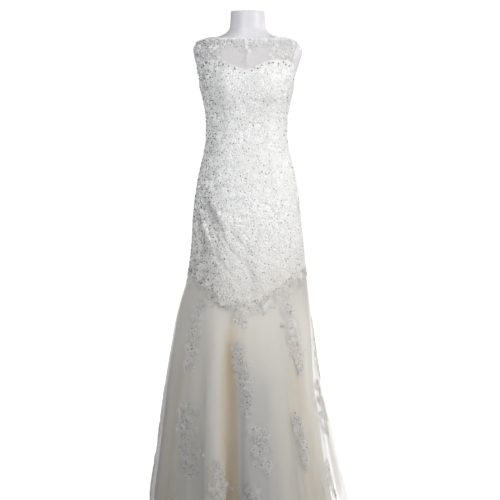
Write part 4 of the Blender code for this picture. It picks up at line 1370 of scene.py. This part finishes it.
def addBeads():
    for name, first, last, seed in (("Front", -90, 90, 21), ("Back", 90, 180, 22), ("BackRight", -180, -90, 23)):
        draw = random.Random(seed)
        for label, shape, spacing, look, slot, sharp, sizes in (
            ("bodyStones", stone, beads["stoneSpacing"], crystal, "steel", 20, (0.5, 1.15)),
            ("bodyPearls", smallPearl, beads["pearlSpacing"], pearl, "lace", None, (0.8, 1.2)),
        ):
            batch = emptyBatch()
            seats = laceSeats(first, last, spacing, draw, -6, 2, 0.62)
            if label == "bodyStones":
                # more of them towards the wearer's right, and larger there: real stones, set thicker and larger so
                # their dark specks also stand in for the shade on that side
                seats = [seat for seat in seats if draw.random() < along(beads["stoneChance"], max(seat[0], -90))]
            turns, heights = np.array(seats).T
            points = below(turns, heights, 0.0)
            aways = outward(turns, heights)
            for point, away in zip(points, aways):
                larger = 1 + 0.35 * ramp(-0.03, -0.13, point[0] * mm) if label == "bodyStones" else 1
                sewBead(batch, shape, point, away, draw.uniform(*sizes) * larger, beads["lift"])
            if label == "bodyStones" and name == "Front":
                # a row of large ones under the sweetheart edge
                for turn in np.arange(-54, 55, 6.0):
                    height = float(edgeHeight(topEdge, turn)) - 9 + draw.uniform(-4, 4)
                    seat = below(np.array(turn + draw.uniform(-1, 1)), np.array(height), 0.0)
                    sewBead(batch, shape, seat, outward(np.array(turn), np.array(height)), 1.45, 1.0)
            batchObject(label + name, batch, [look], sharp)


# Dress form

form = {"bottom": 878, "top": 1725, "columns": 104,
        "hip": {878: 0.70, 886: 0.84, 900: 0.93, 925: 0.985, 970: 1.0}}


def addForm():
    heights = np.concatenate([np.linspace(970, 1600, 60), np.linspace(1600, form["top"] - 3, 52)[1:]])
    turns = np.arange(form["columns"]) * 360 / form["columns"]
    rings = []
    base = below(turns, np.full(turns.shape, 970.0), cloth["wall"] + 9, draped=False)
    for height in (878, 879.5, 882, 886, 892, 900, 911, 925, 945):
        share = along(form["hip"], height)
        rings.append(base * np.array([share, share, 0]) + np.array([0, 0, height]))
    for height in heights:
        depth = (cloth["wall"] + along(formClearance, height)) * ramp(-1660, -1638, -height)
        rings.append(below(turns, np.full(turns.shape, float(height)), float(depth), draped=False))
    edge = form["top"]
    for rise, depth in ((0.88, 0.4), (0.35, 1.5), (0.0, 3.0)):
        rings.append(below(turns, np.full(turns.shape, edge - 3 * rise ** 1.6), depth, draped=False))
    rings = np.array(rings)
    count = len(turns)
    quads = []
    for r in range(len(rings) - 1):
        for c in range(count):
            a, b = r * count + c, r * count + (c + 1) % count
            quads.append((a, b, b + count, a + count))
    last = (len(rings) - 1) * count
    faces = [tuple(range(count - 1, -1, -1))] + quads + [tuple(range(last, last + count))]
    made = meshObject("dressForm", rings.reshape(-1, 3), faces, [formShell])
    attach(made, "root")
    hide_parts("form_torso")


# Stand

stand = {"poleRadius": 16, "baseRadius": 200, "baseThickness": 8, "bossRadius": 25, "bossTop": 46, "collarRadius": 54}


def turnedPiece(name, node, profile, segments=72):
    # a profile of (radius, height) spun about the stand's axis with Blender's own spin
    clearSelection()
    mesh = bpy.data.meshes.new(name)
    points = [(radius * mm, 0, height * mm) for radius, height in profile]
    mesh.from_pydata(points, [(i, i + 1) for i in range(len(points) - 1)], [])
    made = bpy.data.objects.new(name, mesh)
    bpy.context.scene.collection.objects.link(made)
    bpy.context.view_layer.objects.active = made
    made.select_set(True)
    bpy.ops.object.mode_set(mode="EDIT")
    bpy.ops.mesh.select_all(action="SELECT")
    bpy.ops.mesh.spin(steps=segments, angle=2 * math.pi, center=(0, 0, 0), axis=(0, 0, 1))
    bpy.ops.mesh.select_all(action="SELECT")
    bpy.ops.mesh.remove_doubles(threshold=0.00002)
    bpy.ops.mesh.normals_make_consistent(inside=False)
    bpy.ops.object.mode_set(mode="OBJECT")
    made.data.materials.append(brushedSteel)
    bpy.ops.object.shade_smooth_by_angle(angle=math.radians(32))
    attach(made, "root")
    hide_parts(node)
    return made


def addStand():
    thick, boss, collar = stand["baseThickness"], stand["bossRadius"], stand["collarRadius"]
    turnedPiece("standBase", "stand_base", [
        (0, 0), (stand["baseRadius"], 0), (stand["baseRadius"], thick - 3), (stand["baseRadius"] - 1, thick - 1),
        (stand["baseRadius"] - 3, thick), (60, thick + 1.6), (30, thick + 3), (27, thick + 6), (boss, thick + 12),
        (boss, stand["bossTop"] - 1.5), (boss - 1.5, stand["bossTop"]), (0, stand["bossTop"]),
    ])
    collarBottom = form["bottom"] - 46
    turnedPiece("standPole", "stand_pole", [
        (0, stand["bossTop"] + 0.3), (stand["poleRadius"], stand["bossTop"] + 0.3),
        (stand["poleRadius"], collarBottom - 0.3), (0, collarBottom - 0.3),
    ], 48)
    turnedPiece("standCollar", "stand_collar", [
        (0, collarBottom), (22, collarBottom), (23, collarBottom + 1), (26, form["bottom"] - 16),
        (30, form["bottom"] - 12), (collar - 1, form["bottom"] - 8), (collar, form["bottom"] - 7),
        (collar, form["bottom"] - 0.3), (0, form["bottom"] - 0.3),
    ], 60)


# Lace sprays on the skirt: middle, length, width, lean to the wearer's left, lobes

sprays = [
    (-43, 648, 250, 62, -6, 5), (-38, 320, 250, 88, 8, 4), (-1, 520, 245, 62, 10, 5), (10, 300, 160, 74, 14, 3),
    (-14, 170, 180, 76, 4, 3), (6, 128, 130, 84, 6, 3), (44, 640, 235, 58, 10, 5), (42, 310, 190, 60, 6, 4),
    (66, 350, 150, 46, 6, 3), (64, 150, 150, 60, 8, 3), (-76, 360, 190, 66, -4, 4), (-80, 130, 150, 70, -4, 3),
    (88, 580, 220, 60, 4, 4), (114, 320, 220, 72, 4, 4), (140, 580, 230, 62, 4, 4), (166, 310, 230, 80, 3, 4),
    (192, 580, 230, 62, -4, 4), (218, 310, 220, 76, -4, 4), (246, 580, 220, 62, -4, 4),
]
sprayBuild = {"netWall": 0.5, "netLift": 0.5, "cordLift": 1.1, "rowsPerLobe": 8, "columns": 9, "spacing": 16.0,
              "kinds": ("openBlossom", "openRing", "openCurl", "openBlossom", "openSprig", "openRing")}
# the sewn work of a front spray reaches a little past its net: number, mm to the wearer's left, mm up, widening
sprayReach = {1: (3, 0, 1.25), 2: (3, -10, 1.4), 3: (9, 0, 1.2), 4: (11, -2, 1.2), 6: (4, 0, 1.15), 7: (12, 0, 1.35),
              8: (4, 0, 1.0), 9: (6, -4, 1.1)}


def spraySwell(turn, lobes, up):
    taper = np.sin(np.clip(up, 0.05, 0.95) * math.pi) ** 0.3
    swell = (0.32 + 0.68 * np.abs(np.sin(up * lobes * math.pi))) * taper
    sway = 0.22 * np.sin(up * 7 + turn)
    return swell * (1 - sway), swell * (1 + sway)


def sprayPlace(spray, across, up):
    # across is -1 to 1 between the spray's edges, up is 0 to 1 along it
    turn, height, length, width, lean, lobes = spray
    right, left = spraySwell(turn, lobes, up)
    heights = height + (up - 0.5) * length
    middle = (up - 0.5) * -length * math.tan(math.radians(lean))
    shift = middle + width / 2 * np.where(across < 0, right, left) * across
    return turn + shift / degreeLength(turn, heights), heights


def addSprayNet(number, spray):
    rows, columns = spray[5] * sprayBuild["rowsPerLobe"] + 1, sprayBuild["columns"]
    up, across = np.meshgrid(np.linspace(0, 1, rows), np.linspace(-1, 1, columns), indexing="ij")
    turns, heights = sprayPlace(spray, across, up)
    inner = below(turns, heights, cloth["skirtDepth"] - sprayBuild["netLift"])
    outer = below(turns, heights, cloth["skirtDepth"] - sprayBuild["netLift"] - sprayBuild["netWall"])
    clothShell(f"sprayNet{number:02d}", outer, inner, [sprayNet], node=f"spray_{number:02d}")


def addSprays():
    for number, spray in enumerate(sprays):
        addSprayNet(number + 1, spray)
    for end, seed in (("Front", 3), ("Back", 4)):
        chosen = [spray for spray in sprays if (spray[0] < 85) == (end == "Front")]
        draw = random.Random(seed)
        work, stones, pearls = emptyBatch(), emptyBatch(), emptyBatch()
        for spray in chosen:
            turn, height, length, width, _, lobes = spray
            drift, climb, widening = sprayReach.get(sprays.index(spray) + 1, (0, 0, 1.1))
            degree = float(degreeLength(turn, height))
            rows = int(length / sprayBuild["spacing"]) + 1
            for row in range(rows):
                up = (row + 0.5) / rows
                right, left = spraySwell(turn, lobes, np.array(up))
                wide = width / 2 * float(right + left)
                count = max(1, round(wide * widening / sprayBuild["spacing"]))
                for column in range(count):
                    across = (((column + 0.5) / count * 2 - 1) + draw.uniform(-0.2, 0.2)) * widening
                    t, h = sprayPlace(spray, np.array(across), np.array(up + draw.uniform(-0.3, 0.3) / rows))
                    pinMotif(work, motifs[draw.choice(sprayBuild["kinds"])], float(t) + drift / degree,
                             float(h) + climb, draw.uniform(-180, 180), draw.uniform(0.8, 1.25),
                             sprayBuild["cordLift"], draw.random() < 0.5)
            t, h = sprayPlace(spray, np.array(0.0), np.array(0.01))
            pinMotif(work, motifs["roundel"], float(t) + drift / degree, float(h) + climb, 0, 0.7,
                     sprayBuild["cordLift"])
            # stones and pearls, thickest along the middle
            places = [(draw.gauss(0, 0.42), draw.random()) for _ in range(int(length * width / 260))]
            across, up = np.clip(np.array(places).T, [[-0.95], [0.02]], [[0.95], [0.98]])
            turns, heights = sprayPlace(spray, across * widening, up)
            turns, heights = turns + drift / degree, heights + climb
            seats = below(turns, heights, cloth["skirtDepth"] - 2.2)
            for seat, away in zip(seats, outward(turns, heights)):
                if draw.random() < 0.42:
                    sewBead(stones, stone, seat, away, draw.uniform(0.7, 1.05))
                else:
                    sewBead(pearls, smallPearl, seat, away, draw.uniform(0.9, 1.3))
        batchObject("sprayWork" + end, settleMotifs(work), [sprayCord, openPetal])
        batchObject("sprayStones" + end, stones, [crystal], 20)
        batchObject("sprayPearls" + end, pearls, [pearl])


# Edges: a rolled cord round the neckline and armholes, and along the bodice's top edge

edging = {"cord": 0.9}


def threadAlong(name, paths, radius):
    # curves with a round section, turned into one mesh
    clearSelection()
    curve = bpy.data.curves.new(name, "CURVE")
    curve.dimensions = "3D"
    curve.bevel_depth, curve.bevel_resolution = radius * mm, 1
    curve.use_fill_caps = True
    for path, closed in paths:
        spline = curve.splines.new("POLY")
        spline.points.add(len(path) - 1)
        spline.points.foreach_set("co", np.column_stack([np.asarray(path) * mm, np.ones(len(path))]).ravel())
        spline.use_cyclic_u = closed
    made = bpy.data.objects.new(name, curve)
    bpy.context.scene.collection.objects.link(made)
    bpy.context.view_layer.objects.active = made
    made.select_set(True)
    bpy.ops.object.convert(target="MESH")
    made = bpy.context.object
    made.data.materials.append(laceCord)
    made.data.shade_smooth()
    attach(made, "root")
    return made


def addEdging():
    front, backLeft, backRight = hosts["yokeFront"][0], hosts["yokeBack"][0], hosts["yokeBack"][1]
    neck = np.concatenate([front[-1], backLeft[-1], backRight[-1]])
    turnsLeft = np.linspace(cloth["armTurn"], 180 - cloth["armTurn"], 50)
    underLeft = outline(turnsLeft, edgeHeight(topEdge, turnsLeft))
    underRight = outline(-turnsLeft, edgeHeight(topEdge, turnsLeft))
    left = np.concatenate([front[:, -1], backLeft[::-1, 0], underLeft[::-1]])
    right = np.concatenate([front[:, 0], backRight[::-1, -1], underRight[::-1]])
    paths = [(neck, True), (left, True), (right, True)]
    bodice = np.linspace(-cloth["armTurn"], cloth["armTurn"], 120)
    paths.append((outline(bodice, edgeHeight(topEdge, bodice) + 1.5 * np.abs(np.sin(bodice * 0.42))), False))
    paths.append((outline(bodice + 180, edgeHeight(topEdge, bodice + 180)), False))
    threadAlong("edgeCords", paths, edging["cord"])


# Closing at the centre back

closing = {"width": 20, "low": 1020, "buttons": 14, "radius": 5.0, "height": 4.6}


def addClosing():
    top = float(edgeHeight(neckEdge, 180)) - 3
    heights = np.linspace(closing["low"], top, 110)[:, None] * np.ones((1, 9))
    half = closing["width"] / 2 * seamGap(180, heights) / (cloth["seam"] / 2)
    shares = np.linspace(-1, 1, 9)[None, :]
    turns = 180 + half * shares
    rounded = 0.25 * shares ** 6
    clothShell("placketStrip", below(turns, heights, -2.2 + rounded), below(turns, heights, -1.2), [placketSatin],
               node="placket")
    low, high = closing["low"] + 18, float(edgeHeight(neckEdge, 180)) - 12
    loops = []
    for number, height in enumerate(np.linspace(high, low, closing["buttons"])):
        away = Vector(outward(np.array(180.0), np.array(height)))
        seat = Vector(below(np.array(180.0), np.array(height), np.array(-2.5)))
        clearSelection()
        bpy.ops.mesh.primitive_uv_sphere_add(segments=24, ring_count=14, radius=closing["radius"] * mm)
        button = bpy.context.object
        button.name = f"button{number + 1:02d}"
        bpy.ops.object.mode_set(mode="EDIT")
        bpy.ops.mesh.select_all(action="SELECT")
        bpy.ops.mesh.bisect(plane_co=(0, 0, 0), plane_no=(0, 0, 1), use_fill=True, clear_inner=True)
        bpy.ops.mesh.select_all(action="SELECT")
        bpy.ops.transform.resize(value=(1, 1, closing["height"] / closing["radius"]), center_override=(0, 0, 0))
        bpy.ops.object.mode_set(mode="OBJECT")
        # the cloth is gathered under: faint ribs towards the rim
        for vertex in button.data.vertices:
            x, y, z = vertex.co / mm
            rib = 1 + 0.035 * math.cos(12 * math.atan2(y, x)) * (1 - z / closing["height"])
            vertex.co.x, vertex.co.y = x * rib * mm, y * rib * mm
        bpy.ops.object.shade_smooth_by_angle(angle=math.radians(40))
        button.rotation_mode = "QUATERNION"
        button.rotation_quaternion = away.to_track_quat("Z", "Y")
        button.location = seat * mm
        bpy.ops.object.transform_apply(location=True, rotation=True, scale=True)
        button.data.materials.append(buttonSatin)
        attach(button, "root")
        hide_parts(f"button_{number + 1:02d}")
        # a loop from the wearer's right edge of the strip round the button
        side = away.cross(Vector((0, 0, 1))).normalized()
        up = side.cross(away).normalized() * -1
        loop = []
        for step in np.linspace(-0.5, 0.5, 15):
            swing = math.cos(step * math.pi) ** 0.6 if abs(step) < 0.5 else 0
            reach = -closing["width"] / 2 + swing * (closing["width"] / 2 + closing["radius"] + 0.8)
            spread = math.sin(step * math.pi) * (closing["radius"] + 0.9)
            loop.append(seat + side * reach + up * spread + away * 0.9)
        loops.append(([tuple(p) for p in loop], False))
    threadAlong("buttonLoops", loops, 0.7)


# Camera and light

studio = {
    "distance": 4.2, "elevation": 8.0, "azimuth": 3.5, "target": (0.008, 0, 0.915), "lens": 87.65,
    "floorSize": 60.0,
}


def addStudio():
    a, e = math.radians(studio["azimuth"]), math.radians(studio["elevation"])
    back = Vector((math.sin(a) * math.cos(e), -math.cos(a) * math.cos(e), math.sin(e)))
    camera = bpy.data.objects.new("camera", bpy.data.cameras.new("camera"))
    camera.data.lens, camera.data.sensor_width = studio["lens"], 36.0
    camera.data.clip_end = 200
    camera.location = Vector(studio["target"]) + back * studio["distance"]
    camera.rotation_mode = "QUATERNION"
    camera.rotation_quaternion = (-back).to_track_quat("-Z", "Y")
    bpy.context.scene.collection.objects.link(camera)
    bpy.context.scene.camera = camera

    clearSelection()
    bpy.ops.mesh.primitive_plane_add(size=studio["floorSize"], location=(0, 0, -0.0005))
    floor = bpy.context.object
    floor.name = "floor"
    floor.visible_diffuse = False
    material, sheet, shader = newMaterial("paleFloor")
    shader.inputs["Base Color"].default_value = colour(0.6, 0.6, 0.6)
    shader.inputs["Roughness"].default_value = 0.9
    shader.inputs["Specular IOR Level"].default_value = 0.0
    shader.inputs["Emission Color"].default_value = colour(1, 1, 1)
    shader.inputs["Emission Strength"].default_value = 0.9
    floor.data.materials.append(material)

    for name, size, power, spread, place, aim, tone in (
        ("keyLight", 1.1, 23.5, 104, (2.75, -1.5, 2.1), (0, 0, 1.15), (1.0, 0.99, 0.97)),
        ("fillLight", 1.4, 7.2, 52, (-0.85, -2.9, 2.7), (0, 0, 1.55), (0.97, 0.985, 1.0)),
        ("rimLight", 1.4, 30.0, 170, (2.4, 1.8, 2.6), (0, 0, 1.1), (1, 1, 1)),
        ("lowLight", 1.2, 1.1, 42, (-1.7, -2.6, 0.9), (-0.12, 0, 0.6), (1.0, 0.98, 0.94)),
        ("sideLight", 1.2, 0.9, 40, (2.9, -1.5, 0.9), (0.2, 0, 0.45), (1.0, 0.975, 0.93)),
    ):
        light = bpy.data.objects.new(name, bpy.data.lights.new(name, "AREA"))
        light.data.size, light.data.energy, light.data.color = size, power, tone
        light.data.spread = math.radians(spread)
        light.location = place
        light.rotation_mode = "QUATERNION"
        light.rotation_quaternion = (Vector(aim) - Vector(place)).to_track_quat("-Z", "Y")
        bpy.context.scene.collection.objects.link(light)

    world = bpy.data.worlds.new("studio")
    bpy.context.scene.world = world
    world.use_nodes = True
    sheet = nodeSheet(world.node_tree)
    sky = world.node_tree.nodes["Background"]
    seen = sheet.add("ShaderNodeLightPath").outputs["Is Camera Ray"]
    sheet.feed(sky.inputs["Strength"], sheet.spread(seen, 0, 1, 0.25, 1.05))
    sky.inputs["Color"].default_value = colour(1, 1, 1)
    scene = bpy.context.scene
    scene.view_settings.view_transform = "Standard"
    scene.cycles.transparent_max_bounces = 24


addBody()
addYokes()
addSkirt()
print("cloth laid")
addForm()
addStand()
addAllOverLace()
addEdgeWork()
addYokeWork()
addBeads()
addSprays()
print("lace sewn on")
addEdging()
addClosing()
addStudio()
